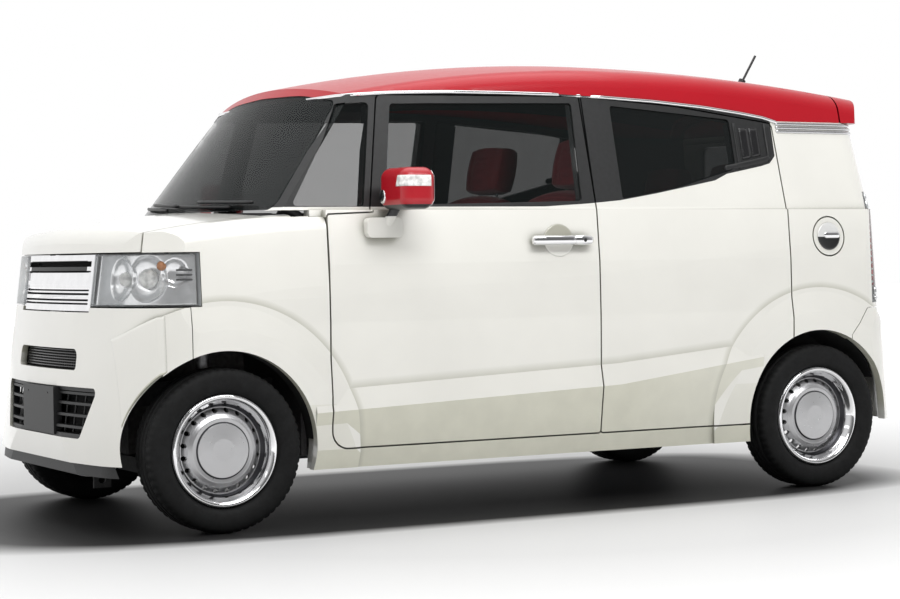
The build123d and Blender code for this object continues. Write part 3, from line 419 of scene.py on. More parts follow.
MATERIALS = {
    "ivory": paint("ivory_paint", IVORY),
    "side_ivory": side_paint("side_ivory_paint", IVORY),
    "red": paint("red_paint", RED, 0.15, 0.3),
    "roof": lined("roof_paint", RED, 0.15, 0.3),
    "two_tone": two_tone("two_tone_paint"),
    "mirror": by_height("mirror_paint", ((0.0, IVORY), (1.066, BLACK), (1.104, RED)), 0.2),
    # Dark below and pale above: a painted reflection of bright metal in the fuel lid's dish.
    "lid_bowl_painted_reflection": by_height("lid_bowl_painted_reflection", ((0.0, BLACK), (0.981, (0.72, 0.72, 0.71)))),
    # Darker in its upper part: painted shade in the finger dish behind the door handle.
    "recess": by_height("handle_recess_painted_shade", ((0.0, IVORY), (0.970, (0.44, 0.43, 0.36)))),
    "glass": clear("tinted_glass", (0.008, 0.010, 0.010), 0.62),
    "door_glass": clear("door_glass", (0.008, 0.011, 0.011), 0.34),
    "screen": clear("screen_glass", (0.020, 0.024, 0.024), 0.16),
    "lens": clear("clear_lens", (0.75, 0.77, 0.78), 0.06),
    "chrome": bright("chrome", (0.86, 0.86, 0.87), 0.06),
    "grille": slotted("grille_chrome", (0.86, 0.86, 0.87), 0.06, 0.884, 0.926, 0.300),
    "satin": bright("satin_metal", (0.62, 0.62, 0.63), 0.22),
    "black": grained("black_plastic", BLACK, 0.48, 900.0, 0.08),
    "gloss_black": grained("gloss_black", (0.010, 0.010, 0.011), 0.2, 700.0, 0.01),
    "trim": grained("cabin_trim", TRIM, 0.62, 600.0, 0.15),
    "steel": grained("steel", (0.30, 0.30, 0.31), 0.42, 300.0, 0.05, metallic=0.9),
    "iron": grained("cast_iron", (0.075, 0.072, 0.070), 0.65, 250.0, 0.3, metallic=0.6),
    # Felt on the arch liners, and painted shade on the dark backings behind the front openings.
    "liner": grained("liner_felt_and_painted_shade", (0.006, 0.006, 0.006), 0.9, 300.0, 0.3),
    "lamp_silver": grained("lamp_silver", (0.88, 0.89, 0.90), 0.14, 150.0, 0.02, metallic=0.72, spread=0.05),
    "underbody": grained("underbody_coat", (0.025, 0.025, 0.025), 0.8, 350.0, 0.3),
    "cloth": woven("burgundy_cloth", (0.36, 0.022, 0.034)),
    "amber": grained("amber_lens", (0.55, 0.20, 0.04), 0.15, 200.0, 0.05),
    "ruby": grained("ruby_lens", (0.45, 0.006, 0.010), 0.12, 220.0, 0.08),
    "white_lens": grained("pale_lens", (0.80, 0.80, 0.78), 0.12, 220.0, 0.08),
    "plate": grained("blank_plate", (0.055, 0.056, 0.060), 0.35, 160.0, 0.04),
}

CAD_LOOKS = {
    "ivory": ("hood", "front_bumper", "rear_bumper", "tailgate", "fuel_lid"),
    "side_ivory": ("front_fenders",),
    "red": ("spoiler",),
    "roof": ("roof",),
    "mirror": ("door_mirror_left", "door_mirror_right"),
    "two_tone": ("body_sides", "front_door_left", "front_door_right", "rear_door_left", "rear_door_right"),
    "glass": ("rear_door_glass_left", "rear_door_glass_right", "tailgate_glass"),
    "door_glass": ("front_door_glass_left", "front_door_glass_right"),
    "screen": ("fixed_glass",),
    "lens": ("headlamps", "tail_lamps"),
    "grille": ("grille",),
    "chrome": ("door_handle_left", "door_handle_right"),
    "black": ("cowl", "aerial", "lower_grille"),
    "liner": ("arch_liners",),
    "trim": ("dashboard", "steering_wheel", "bulkhead"),
    "steel": ("knuckle_left", "knuckle_right", "rear_axle", "exhaust", "fuel_tank"),
    "iron": ("engine",),
    "underbody": ("floor_pan", "front_frame"),
    "cloth": ("front_seats", "rear_seat"),
}


def wear(obj, made):
    obj.data.materials.clear()
    obj.data.materials.append(made)


for look, names in CAD_LOOKS.items():
    for name in names:
        wear(nodes[name], MATERIALS[look])
for end, x in AXLES.items():
    for side, sign in SIDES.items():
        wear(nodes[f"wheel_{end}_{side}"], wheel_paint(f"wheel_paint_{end}_{side}", x, sign))
        look = f"rubber_{end}_{side}"
        MATERIALS[look] = rubber(look, x, sign)
        wear(nodes[f"tyre_{end}_{side}"], MATERIALS[look])


# Mesh helpers

def piece(name, part, look, body="body"):
    verts, faces = part
    mesh = bpy.data.meshes.new(name)
    mesh.from_pydata([tuple(v) for v in verts], [], faces)
    shell = bmesh.new()
    shell.from_mesh(mesh)
    bmesh.ops.recalc_face_normals(shell, faces=shell.faces)
    shell.to_mesh(mesh)
    shell.free()
    mesh.validate()
    for polygon in mesh.polygons:
        polygon.use_smooth = True
    obj = bpy.data.objects.new(name, mesh)
    bpy.context.scene.collection.objects.link(obj)
    wear(obj, MATERIALS[look])
    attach(obj, body)
    return obj


def drum_faces(rings, sides):
    """Faces round a row of rings, closed at both ends."""
    faces = []
    for i in range(rings - 1):
        for k in range(sides):
            n = (k + 1) % sides
            faces.append((i * sides + k, i * sides + n, (i + 1) * sides + n, (i + 1) * sides + k))
    return faces + [tuple(range(sides)), tuple((rings - 1) * sides + k for k in range(sides))]


def tube(points, radius, sides=10, squash=1.0, up=(0, 0, 1)):
    """Round bead along a line of points, with domed ends; squash flattens it across up."""
    points = [Vector(p) for p in points]
    verts, stations = [], []
    for i, p in enumerate(points):
        run = points[min(i + 1, len(points) - 1)] - points[max(i - 1, 0)]
        stations.append((p, run.normalized(), 1.0))
    first, last = stations[0], stations[-1]
    stations.insert(0, (first[0] - first[1] * radius * 0.6, first[1], 0.55))
    stations.append((last[0] + last[1] * radius * 0.6, last[1], 0.55))
    for p, run, share in stations:
        across = run.cross(Vector(up)).normalized()
        rise = across.cross(run).normalized()
        for k in range(sides):
            angle = 2 * math.pi * k / sides
            verts.append(p + (across * math.cos(angle) * squash + rise * math.sin(angle)) * radius * share)
    return verts, drum_faces(len(stations), sides)


def turned(profile, segments, centre, out):
    """Closed ring of a profile of radius, distance out, about the Y axis through the centre."""
    verts, faces = [], []
    for i in range(segments):
        angle = 2 * math.pi * i / segments
        for radius, reach in profile:
            spoke = Vector((radius * math.cos(angle), out * reach, radius * math.sin(angle)))
            verts.append(Vector(centre) + spoke)
    n = len(profile)
    for i in range(segments):
        j = (i + 1) % segments
        for k in range(n):
            m = (k + 1) % n
            faces.append((i * n + k, i * n + m, j * n + m, j * n + k))
    return verts, faces


def slab(rows, depth):
    """Closed sheet from a grid of points and the way to its back."""
    count, width = len(rows), len(rows[0])
    depth = Vector(depth)
    verts = [Vector(p) for row in rows for p in row]
    total = len(verts)
    verts += [v + depth for v in verts]
    faces = []
    for i in range(count - 1):
        for k in range(width - 1):
            a, b, c, d = i * width + k, i * width + k + 1, (i + 1) * width + k + 1, (i + 1) * width + k
            faces.append((a, b, c, d))
            faces.append((total + a, total + d, total + c, total + b))
    rim = list(range(width)) + [i * width + width - 1 for i in range(1, count)]
    rim += [(count - 1) * width + k for k in range(width - 2, -1, -1)]
    rim += [i * width for i in range(count - 2, 0, -1)]
    for a, b in zip(rim, rim[1:] + rim[:1]):
        faces.append((a, total + a, total + b, b))
    return verts, faces


def joined(*parts):
    verts, faces = [], []
    for part_verts, part_faces in parts:
        base = len(verts)
        verts += list(part_verts)
        faces += [tuple(base + i for i in face) for face in part_faces]
    return verts, faces


def flip_y(part):
    verts, faces = part
    return [Vector((v[0], -v[1], v[2])) for v in verts], [tuple(reversed(face)) for face in faces]


def twins(name, left, look):
    """One piece on the body from a left shape and its mirror image."""
    piece(name, joined(left, flip_y(left)), look)


def pair(body, *parts):
    """Pieces on a left body and its right twin: each part is a name, its left shape and its look."""
    for side, sign in SIDES.items():
        for name, part, look in parts:
            piece(f"{name}_{side}", part if sign > 0 else flip_y(part), look, f"{body}_{side}")


def skin(*names):
    """Search tree over the triangles of some solids."""
    verts, faces = [], []
    for name in names:
        mesh = nodes[name].data
        base = len(verts)
        verts += [v.co.copy() for v in mesh.vertices]
        faces += [tuple(base + i for i in p.vertices) for p in mesh.polygons]
    return BVHTree.FromPolygons(verts, faces)


def side_hit(tree, x, z, lift=0.0):
    """Point on the left outside at x, z, lifted out by some distance."""
    hit, normal, _, _ = tree.ray_cast(Vector((x, 1.2, z)), Vector((0, -1, 0)))
    return None if hit is None else hit + normal * lift


def cast(tree, start, way, lift):
    """Where a ray first meets the solids, moved back along the ray."""
    way = Vector(way)
    return tree.ray_cast(Vector(start), way)[0] - way * lift


def face_hit(tree, start, way, lift):
    """Where a ray first meets the solids, lifted off the face that it meets."""
    hit, normal, _, _ = tree.ray_cast(Vector(start), Vector(way))
    if hit is None:
        return None
    return hit + (normal if normal.dot(Vector(way)) < 0 else -normal) * lift


def steps(low, high, count):
    return [low + (high - low) * i / (count - 1) for i in range(count)]


def curve_between(points, x):
    """Value at x on a line of x, z points that run in one direction."""
    for (xa, za), (xb, zb) in zip(points, points[1:]):
        if min(xa, xb) <= x <= max(xa, xb):
            return za + (zb - za) * (x - xa) / (xb - xa)
    return points[0][1] if abs(x - points[0][0]) < abs(x - points[-1][0]) else points[-1][1]


def face_x(y, z, inset):
    """Front of the car at y, z, a little way in."""
    return FRONT_X - (z - FRONT_Z) * FRONT_LEAN - y * y / (2 * FRONT_BOW) - inset


# Wheels: bright trim rings and treaded tyres

RING = ((0.1905, 0.0610), (0.1890, 0.0640), (0.1830, 0.0655), (0.1760, 0.0620), (0.1700, 0.0540),
        (0.1660, 0.0460), (0.1610, 0.0385), (0.1585, 0.0350), (0.1600, 0.0340), (0.1680, 0.0440),
        (0.1740, 0.0570), (0.1830, 0.0605))
TREAD_R = 0.2785
TYRE = [(0.1804, -0.052), (0.1905, -0.053), (0.1950, -0.056), (0.1990, -0.0625), (0.2060, -0.0690),
        (0.2160, -0.0735), (0.2260, -0.0760), (0.2370, -0.0775), (0.2470, -0.0775), (0.2550, -0.0765),
        (0.2620, -0.0745), (0.2680, -0.0715), (0.2730, -0.0675), (0.2765, -0.0620), (0.2780, -0.0550),
        (TREAD_R, -0.0440), (TREAD_R, -0.0375), (0.2715, -0.0365), (0.2715, -0.0315), (TREAD_R, -0.0305),
        (TREAD_R, -0.0140), (TREAD_R, -0.0040), (0.2715, -0.0030)]
TYRE = TYRE + [(r, -y) for r, y in reversed(TYRE)]
TREAD_BLOCKS = 60


def tyre_mesh(centre, out):
    """Tyre with three grooves round it and notched shoulders between the tread blocks."""
    segments = TREAD_BLOCKS * 4
    verts, faces = turned(TYRE, segments, centre, out)
    n = len(TYRE)
    for i in range(0, segments, 4):
        for k, (radius, reach) in enumerate(TYRE):
            if radius > 0.2725 and 0.040 < abs(reach) < 0.068:
                v = verts[i * n + k]
                inward = Vector((centre[0] - v.x, 0, centre[2] - v.z)).normalized()
                verts[i * n + k] = v + inward * 0.0045
    return verts, faces


for end, x in AXLES.items():
    for side, sign in SIDES.items():
        centre = (x, sign * TRACK_HALF, HUB_Z)
        body = f"road_wheel_{end}_{side}"
        piece(f"trim_ring_{end}_{side}", turned(RING, 96, centre, sign), "chrome", body)
        tyre = piece(f"treaded_tyre_{end}_{side}", tyre_mesh(centre, sign), f"rubber_{end}_{side}", body)
        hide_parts(f"tyre_{end}_{side}")


# Roof rail, rear garnish and the slatted corner of the rear doors

upper = skin("roof", "body_sides", "front_door_left", "rear_door_left")
RAIL = ((0.790, 1.4975), (0.578, 1.5135), (0.350, 1.5215), (0.123, 1.5235), (-0.100, 1.5225), (-0.314, 1.5165),
        (-0.550, 1.5055), (-0.773, 1.4890), (-0.950, 1.4690), (-1.062, 1.4530), (-1.119, 1.4375))
rail_line = [side_hit(upper, x, curve_between(RAIL, x) - 0.004, 0.003) for x in steps(0.785, -1.119, 60)]
rail_line = [p for p in rail_line if p is not None]
left = tube(rail_line, 0.0065, squash=0.8)
twins("roof_rail_strips", left, "chrome")
GARNISH = (1.397, 1.412, 1.427)
beads = []
for z in GARNISH:
    line = [side_hit(upper, x, z, 0.0005) for x in steps(-1.122, -1.535, 24)]
    beads.append(tube([p for p in line if p is not None], 0.0068, squash=0.7))
left = joined(*beads)
twins("rear_quarter_garnish", left, "satin")
corner = skin("roof", "body_sides", "rear_door_left", "rear_door_glass_left")
CORNER_TOP = 1.430
CORNER_SLATS = ((-0.932, -0.975), (-0.981, -1.024))
CORNER_FRAME = ((-0.906, -0.918), (-1.056, -1.086))
slats, border = [], []
for spans, lift, parts, margin in ((CORNER_SLATS, 0.0025, slats, 0.040), (CORNER_FRAME, 0.004, border, 0.008)):
    for x_front, x_rear in spans:
        rows = []
        for t in steps(0.0, 1.0, 10):
            row = []
            for x in steps(x_front, x_rear, 5):
                low = 1.0 + curve_between(BELT, x) + margin
                row.append(side_hit(corner, x, low + (CORNER_TOP - margin * 0.6 - low) * t, lift))
            rows.append(row)
        parts.append(slab(rows, (0, -0.006, 0)))
low_edge = [side_hit(corner, x, 1.0 + curve_between(BELT, x) + 0.020, 0.001) for x in steps(-0.850, -1.058, 16)]
border.append(tube(low_edge, 0.012, squash=0.4))
pair("rear_door", ("corner_slats", joined(*slats), "gloss_black"), ("corner_frame", joined(*border), "black"))


# Lamps: bright bowls behind the clear covers

def lamp_shell(lamp, angles, heights, depth, dimples):
    """Backing of a lamp that follows its cover from inside, with round dimples as reflectors."""
    tree, centre, ahead = lamp
    rows = []
    for z in heights:
        row = []
        middle = Vector((*centre, z))
        for angle in angles:
            out = Vector((ahead * math.cos(angle), math.sin(angle), 0))
            hit, _, _, _ = tree.ray_cast(middle + out * 1.2, -out)
            if hit is None:
                hit = middle + out * 0.2
            sink = depth
            for d_angle, d_z, radius, deep in dimples:
                away = math.hypot((angle - d_angle) * (hit - middle).length, z - d_z) / radius
                if away < 1:
                    sink += deep * math.sqrt(1 - away * away)
            row.append(hit - out * sink)
        rows.append(row)
    return rows


# Each lamp: its solids, its centre and the way that it faces
HEAD = (skin("headlamps"), (1.37, 0.44), 1)
TAIL = (skin("tail_lamps"), (-1.54, 0.62), -1)
DIMPLES = ((0.36, 0.860, 0.070, 0.030), (0.88, 0.862, 0.078, 0.034), (1.28, 0.880, 0.045, 0.018))
rows = lamp_shell(HEAD, steps(-0.30, 1.555, 90), steps(0.773, 0.943, 36), 0.018, DIMPLES)
left = slab(rows, (-0.003, -0.003, 0))
twins("headlamp_bowls", left, "lamp_silver")


def lamp_point(lamp, angle, z, sink):
    """Point behind a lamp's cover, and the way out through it."""
    tree, centre, ahead = lamp
    out = Vector((ahead * math.cos(angle), math.sin(angle), 0))
    return cast(tree, Vector((*centre, z)) + out * 1.2, -out, -sink), out


def dome(point, out, radius, height, rings=8, segments=24):
    """Shallow lens that bulges along out, closed behind."""
    point, out = Vector(point), Vector(out)
    across = out.cross(Vector((0, 0, 1))).normalized()
    up = across.cross(out).normalized()
    verts, faces = [point + out * height], []
    for i in range(1, rings + 1):
        share = i / rings
        lift = height * math.sqrt(max(0.0, 1 - share * share))
        for k in range(segments):
            angle = 2 * math.pi * k / segments
            spoke = across * math.cos(angle) + up * math.sin(angle)
            verts.append(point + out * lift + spoke * radius * share)
    for k in range(segments):
        faces.append((0, 1 + k, 1 + (k + 1) % segments))
    for i in range(rings - 1):
        for k in range(segments):
            n = (k + 1) % segments
            a, b = 1 + i * segments, 1 + (i + 1) * segments
            faces.append((a + k, b + k, b + n, a + n))
    last = 1 + (rings - 1) * segments
    faces.append(tuple(last + k for k in range(segments)))
    return verts, faces


left = joined(*[dome(*lamp_point(HEAD, a, z, 0.040), r, 0.022) for a, z, r in
                ((0.88, 0.862, 0.034), (0.36, 0.860, 0.026))])
twins("headlamp_projectors", left, "white_lens")
left = dome(*lamp_point(HEAD, 1.10, 0.905, 0.026), 0.017, 0.016)
twins("headlamp_turn_bulbs", left, "amber")
bars = []
for z in (0.858, 0.874, 0.890):
    line = [lamp_point(HEAD, a, z, 0.012)[0] for a in steps(1.30, 1.49, 8)]
    bars.append(tube(line, 0.0035))
left = joined(*bars)
twins("headlamp_side_bars", left, "black")
rows = lamp_shell(TAIL, steps(0.12, 1.50, 16), steps(0.726, 1.152, 60), 0.016, ())
left = slab(rows, (0.002, -0.002, 0))
twins("tail_lamp_bowls", left, "lamp_silver")
bars = []
for z in steps(0.80, 1.08, 12):
    line = [lamp_point(TAIL, a, z, 0.011)[0] for a in steps(0.2, 1.45, 8)]
    bars.append(tube(line, 0.0045))
left = joined(*bars)
twins("tail_lamp_ribs", left, "white_lens")
line = [lamp_point(TAIL, 0.35, z, 0.012)[0] for z in steps(0.79, 1.09, 20)]
left = tube(line, 0.010, up=(0, 1, 0))
twins("tail_lamp_stop_bars", left, "ruby")
blocks = []
for z_low, z_high in ((1.092, 1.124), (1.130, 1.150), (0.728, 0.742), (0.748, 0.778)):
    rows = [[lamp_point(TAIL, a, z, -0.007)[0] for a in steps(0.14, 1.48, 14)]
            for z in steps(z_low, z_high, 4)]
    blocks.append(slab(rows, (0.008, -0.008, 0)))
left = joined(*blocks)
twins("tail_lamp_blocks", left, "lamp_silver")


# Front face: bright shield and dark meshes

def front_sheet(name, look, y_half, z_low, z_high, inset, columns, count, depth=0.003, taper=0.0):
    """Sheet across the front of the car, a little way in."""
    rows = []
    for z in steps(z_low, z_high, count):
        half = y_half + taper * (z - z_low)
        rows.append([(face_x(y, z, inset), y, z) for y in steps(-half, half, columns)])
    piece(name, slab(rows, (-depth, 0, 0)), look)


front_sheet("grille_shield", "chrome", 0.332, 0.826, 0.886, 0.008, 60, 12, 0.006)
# The backing is a dark sheet of painted shade behind the grille's openings.
front_sheet("grille_backing", "liner", 0.334, 0.770, 0.930, 0.045, 60, 14)
bars = [tube([(face_x(y, z, 0.012), y, z) for y in steps(-0.332, 0.332, 40)], 0.0045, squash=1.3)
        for z in (0.783, 0.817)]
piece("grille_thin_bars", joined(*bars), "chrome")
wires = []
for z in steps(0.557, 0.614, 7):
    wires.append(tube([(face_x(y, z, 0.026), y, z) for y in steps(-0.296, 0.296, 40)], 0.0026, sides=6))
for y in steps(-0.28, 0.28, 29):
    line = [(face_x(y, z, 0.030), y, z) for z in steps(0.552, 0.619, 4)]
    wires.append(tube(line, 0.0022, sides=6, up=(0, 1, 0)))
piece("upper_slot_mesh", joined(*wires), "gloss_black")
# Dark backings behind the upper slot and the lower grille: sheets of painted shade.
front_sheet("upper_slot_backing", "liner", 0.315, 0.535, 0.635, 0.050, 40, 6)
front_sheet("lower_grille_backing", "liner", 0.375, 0.312, 0.496, 0.060, 40, 10, taper=0.52)
uprights = []
for y in (-0.40, -0.33, -0.26, -0.19, 0.19, 0.26, 0.33, 0.40):
    low = 0.328 if abs(y) < 0.36 else 0.36
    uprights.append(tube([(face_x(y, z, 0.036), y, z) for z in steps(low, 0.484, 6)], 0.004, up=(0, 1, 0)))
piece("lower_grille_uprights", joined(*uprights), "black")


# Flares carried round onto the front bumper

bumper = skin("front_bumper")
FLARE_INNER = 0.3405
FLARE_SOLID_END = 1.500
FLARE_END_X = 1.612
FLARE_STEP = 0.0150


def bumper_flare():
    """Flare from where the solid one ends, sinking into the bumper's corner."""
    rows = []
    start = [FLARE_SOLID_END - 0.012, FLARE_SOLID_END - 0.003]
    for x in start + steps(FLARE_SOLID_END + 0.003, FLARE_END_X, 38):
        reach = x - AXLES["front"]
        share = min(1.0, max(0.0, (x - FLARE_SOLID_END) / (FLARE_END_X - FLARE_SOLID_END)))
        lift = 0.0008 if x < FLARE_SOLID_END else 0.0008 + FLARE_STEP * (1 - share * share * (3 - 2 * share))
        inner = HUB_Z + math.sqrt(FLARE_INNER ** 2 - reach ** 2)
        outer = HUB_Z + math.sqrt(FLARE_R ** 2 - reach ** 2)
        rows.append([side_hit(bumper, x, z, lift) for z in steps(inner + 0.001, outer - 0.001, 24)])
    return slab(rows, (-0.004, -0.020, 0))


left = bumper_flare()
twins("bumper_flares", left, "ivory")


# Windscreen wipers and the tailgate's plate panel

screen = skin("fixed_glass")


def screen_point(y, z, lift):
    return face_hit(screen, (2.5, y, z), (-1, 0, 0), lift)


def wiper(y_pivot, z_pivot, y_tip, z_tip):
    arm = [screen_point(y_pivot + (y_tip - y_pivot) * t * 0.62, z_pivot + (z_tip - z_pivot) * t * 0.62, 0.016)
           for t in steps(0.0, 1.0, 10)]
    blade = [screen_point(y_pivot + (y_tip - y_pivot) * t, z_pivot + (z_tip - z_pivot) * t - 0.012, 0.008)
             for t in steps(0.22, 1.0, 24)]
    return joined(tube([p for p in arm if p], 0.006, squash=1.5),
                  tube([p for p in blade if p], 0.006, squash=0.8))


piece("screen_wipers", joined(wiper(0.50, 1.112, -0.06, 1.128), wiper(-0.02, 1.112, -0.53, 1.132)), "black")
gate = skin("tailgate")


def gate_point(y, z, lift):
    return face_hit(gate, (-2.5, y, z), (1, 0, 0), lift)


rows = [[gate_point(y, z, 0.004) for y in steps(-0.165, 0.165, 20)] for z in steps(0.775, 0.94, 12)]
piece("rear_plate_blank", slab(rows, (-0.002, 0, 0)), "plate", "tailgate")
line = [gate_point(y, 0.968, 0.002) for y in steps(-0.30, 0.30, 30)]
piece("tailgate_bar", tube(line, 0.013, squash=0.6), "chrome", "tailgate")


# Back: wiper, high stop lamp, reflectors

def back_point(tree, y, z, lift):
    return cast(tree, (-2.5, y, z), (1, 0, 0), lift)


pane = skin("tailgate_glass")
arm = [back_point(pane, 0.02 - 0.30 * t, 1.050 + 0.030 * t, 0.016) for t in steps(0.0, 1.0, 10)]
blade = [back_point(pane, -0.06 - 0.33 * t, 1.042 + 0.034 * t, 0.008) for t in steps(0.0, 1.0, 16)]
hub = dome(back_point(pane, 0.02, 1.050, 0.0), (-1, 0, 0), 0.022, 0.020)
wiper_parts = joined(hub, tube(arm, 0.006, squash=1.4), tube(blade, 0.006, squash=0.8))
piece("rear_wiper", wiper_parts, "black", "tailgate")
spoiler = skin("spoiler")
rows = [[back_point(spoiler, y, z, 0.003) for y in steps(-0.13, 0.13, 20)] for z in steps(1.556, 1.574, 4)]
piece("high_stop_lamp", slab(rows, (0.006, 0, 0)), "ruby", "tailgate")
rear_skin = skin("rear_bumper")
rows = [[back_point(rear_skin, y, z, 0.004) for y in steps(0.36, 0.50, 14)] for z in steps(0.375, 0.405, 5)]
left = slab(rows, (0.008, 0, 0))
twins("rear_reflectors", left, "ruby")


# Door mirrors: glass behind and a turn lamp on the outside

for side, sign in SIDES.items():
    mirror, body = skin(f"door_mirror_{side}"), f"front_door_{side}"
    rows = [[cast(mirror, (0.2, sign * y, z), (1, 0, 0), 0.0015) for y in steps(0.735, 0.893, 10)]
            for z in steps(1.100, 1.220, 8)]
    piece(f"mirror_glass_{side}", slab(rows, (-0.002, 0, 0)), "chrome", body)
    spot = cast(mirror, (1.2, sign * 0.752, 1.134), (-1, 0, 0), -0.002)
    for name, radius, height, look in (("ring", 0.026, 0.007, "chrome"), ("eye", 0.021, 0.0095, "gloss_black")):
        piece(f"mirror_{name}_{side}", dome(spot, (1, 0, 0), radius, height), look, body)
    rows = []
    for t in steps(0.0, 1.0, 6):
        row = []
        for angle in steps(0.36 + 0.16 * t, 2.02, 22):
            out = Vector((math.cos(angle), sign * math.sin(angle), 0))
            row.append(cast(mirror, Vector((0.63, sign * 0.83, 1.166 + 0.038 * t)) + out * 0.5, -out, 0.0015))
        rows.append(row)
    piece(f"mirror_turn_lamp_{side}", slab(rows, (-0.003, -sign * 0.003, 0)), "white_lens", body)


# Bright pull dish on the fuel lid with a painted reflection, and the finger dishes behind the front door
# handles with painted shade

def dish(tree, x, z, half_x, half_z, rim, floor, rings=10, segments=40):
    """Shallow bowl on the left side: its rim stands proud, its middle lies on the surface, closed behind."""
    rows = [(i / rings, floor + (rim - floor) * (i / rings) ** 3) for i in range(rings + 1)] + [(1.04, -0.002)]
    verts = []
    for share, lift in rows:
        for k in range(segments):
            angle = 2 * math.pi * k / segments
            across, rise = half_x * share * math.cos(angle), half_z * share * math.sin(angle)
            verts.append(side_hit(tree, x + across, z + rise, lift))
    faces = drum_faces(len(rows), segments)
    return verts, faces[:-2] + faces[-1:]


LID = (-1.301, 0.983)
lid = skin("fuel_lid")
# The dish's bowl is painted dark below and pale above as a reflection.
piece("fuel_lid_dish", dish(lid, *LID, 0.053, 0.053, 0.004, 0.0008), "lid_bowl_painted_reflection", "fuel_lid")
tab = [side_hit(lid, LID[0] + d, LID[1] + 0.004, 0.005) for d in steps(-0.044, 0.018, 8)]
piece("fuel_lid_pull", tube(tab, 0.013, squash=0.35), "chrome", "fuel_lid")
blank = dish(lid, *LID, 0.0705, 0.0705, 0.0, 0.0)
stem = [side_hit(lid, *LID, -d) for d in (0.001, 0.010, 0.018)]
piece("right_pocket_blank", flip_y(joined(blank, tube(stem, 0.020))), "ivory")
HANDLE = (-0.048, 0.977)
door_skin = skin("front_door_left")
# The dish is painted darker in its upper part as the shade of a recess.
left = dish(door_skin, *HANDLE, 0.062, 0.058, 0.0030, 0.0005)
pair("front_door", ("handle_dish", left, "recess"))
BAR_Y = 0.738
BAR = ((0.126, 0.004, 0.004), (0.124, 0.013, 0.011), (0.116, 0.0175, 0.0150), (0.060, 0.0180, 0.0155),
       (-0.040, 0.0180, 0.0155), (-0.048, 0.0175, 0.0152), (-0.050, 0.0150, 0.0140), (-0.053, 0.0150, 0.0140),
       (-0.055, 0.0180, 0.0152), (-0.090, 0.0190, 0.0152), (-0.120, 0.0165, 0.0145), (-0.130, 0.0110, 0.0100),
       (-0.133, 0.0040, 0.0040))


def bar_mesh(sides=24):
    """Handle grip: an oval section along its length, with a groove before the lock end."""
    verts = []
    for run, half_z, half_y in BAR:
        for k in range(sides):
            angle = 2 * math.pi * k / sides
            rise = math.copysign(abs(math.sin(angle)) ** 0.7, math.sin(angle))
            reach = math.copysign(abs(math.cos(angle)) ** 0.7, math.cos(angle))
            verts.append(Vector((HANDLE[0] + run, BAR_Y + half_y * reach, HANDLE[1] + half_z * rise)))
    return verts, drum_faces(len(BAR), sides)


grip = bar_mesh()
lock = dome((HANDLE[0] - 0.092, BAR_Y + 0.0145, HANDLE[1]), (0, 1, 0), 0.0075, 0.0022)
pair("front_door", ("handle_grip", grip, "chrome"), ("handle_lock", lock, "black"))


# Seats: crowned, piped cushions that stand for the plain blocks

def cushion(x_low, x_high, y_mid, width, z_low, z_high, lean, rib_axis, crown):
    """Stuffed block: rounded, crowned on its faces, with sewn channels across the middle panel."""
    size = Vector((x_high - x_low, width, z_high - z_low))
    middle = Vector(((x_low + x_high) / 2, y_mid, (z_low + z_high) / 2))
    shape = bmesh.new()
    bmesh.ops.create_cube(shape, size=1.0)
    bmesh.ops.subdivide_edges(shape, edges=shape.edges[:], cuts=23, use_grid_fill=True)
    turn = Matrix.Rotation(math.radians(lean), 3, "Y")
    verts = []
    for v in shape.verts:
        u = v.co * 2
        r = Vector((u.x * math.sqrt(max(0, 1 - u.y * u.y * 0.16 - u.z * u.z * 0.16)),
                    u.y * math.sqrt(max(0, 1 - u.x * u.x * 0.10 - u.z * u.z * 0.10)),
                    u.z * math.sqrt(max(0, 1 - u.y * u.y * 0.16 - u.x * u.x * 0.16))))
        p = Vector((r.x * size.x, r.y * size.y, r.z * size.z)) / 2
        run, face, axis = (u.x, u.z, 2) if rib_axis == "X" else (u.z, u.x, 0)
        bulge = crown * (1 - run * run) * (1 - u.y * u.y)
        inside = abs(u.y) < 0.62
        channel = 0.0045 * math.exp(-(((run * 3.5) % 1.0 - 0.5) / 0.10) ** 2) if inside else 0.0
        piping = 0.006 * math.exp(-((abs(u.y) - 0.64) / 0.03) ** 2)
        if abs(face) > 0.98:
            p[axis] += math.copysign(bulge - channel - piping, face)
        verts.append(middle + turn @ p)
    shape.verts.index_update()
    faces = [tuple(v.index for v in f.verts) for f in shape.faces]
    shape.free()
    return verts, faces


def rest_post(x, y, z_low, z_high):
    return tube([(x, y, z_low), (x - (z_high - z_low) * 0.22, y, z_high)], 0.006, up=(0, 1, 0))


for side, sign in SIDES.items():
    y = sign * 0.340
    padding = joined(
        cushion(-0.270, 0.270, y, 0.480, 0.480, 0.622, -3, "X", 0.016),
        cushion(-0.322, -0.202, y, 0.470, 0.590, 1.180, -14, "Z", 0.012),
        cushion(-0.428, -0.340, y, 0.275, 1.176, 1.372, -12, "Z", 0.012))
    seat = piece(f"front_seat_padding_{side}", padding, "cloth")
    if side == "left":
        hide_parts("front_seats")
    stand = joined(*[rest_post(-0.350, y + d, 1.10, 1.20) for d in (-0.07, 0.07)],
                   *[tube([(-0.20, y + d, 0.272), (0.20, y + d, 0.272)], 0.016) for d in (-0.15, 0.15)],
                   *[tube([(x, y + d, 0.275), (x, y + d, 0.50)], 0.018, up=(0, 1, 0))
                     for x in (-0.17, 0.17) for d in (-0.15, 0.15)])
    piece(f"front_seat_frame_{side}", stand, "steel")
padding = joined(*[part for y in (-0.232, 0.232) for part in (
    cushion(-1.060, -0.580, y, 0.455, 0.470, 0.615, -3, "X", 0.014),
    cushion(-1.145, -1.035, y, 0.455, 0.580, 1.120, -14, "Z", 0.012),
    cushion(-1.232, -1.152, y, 0.250, 1.105, 1.288, -12, "Z", 0.012))])
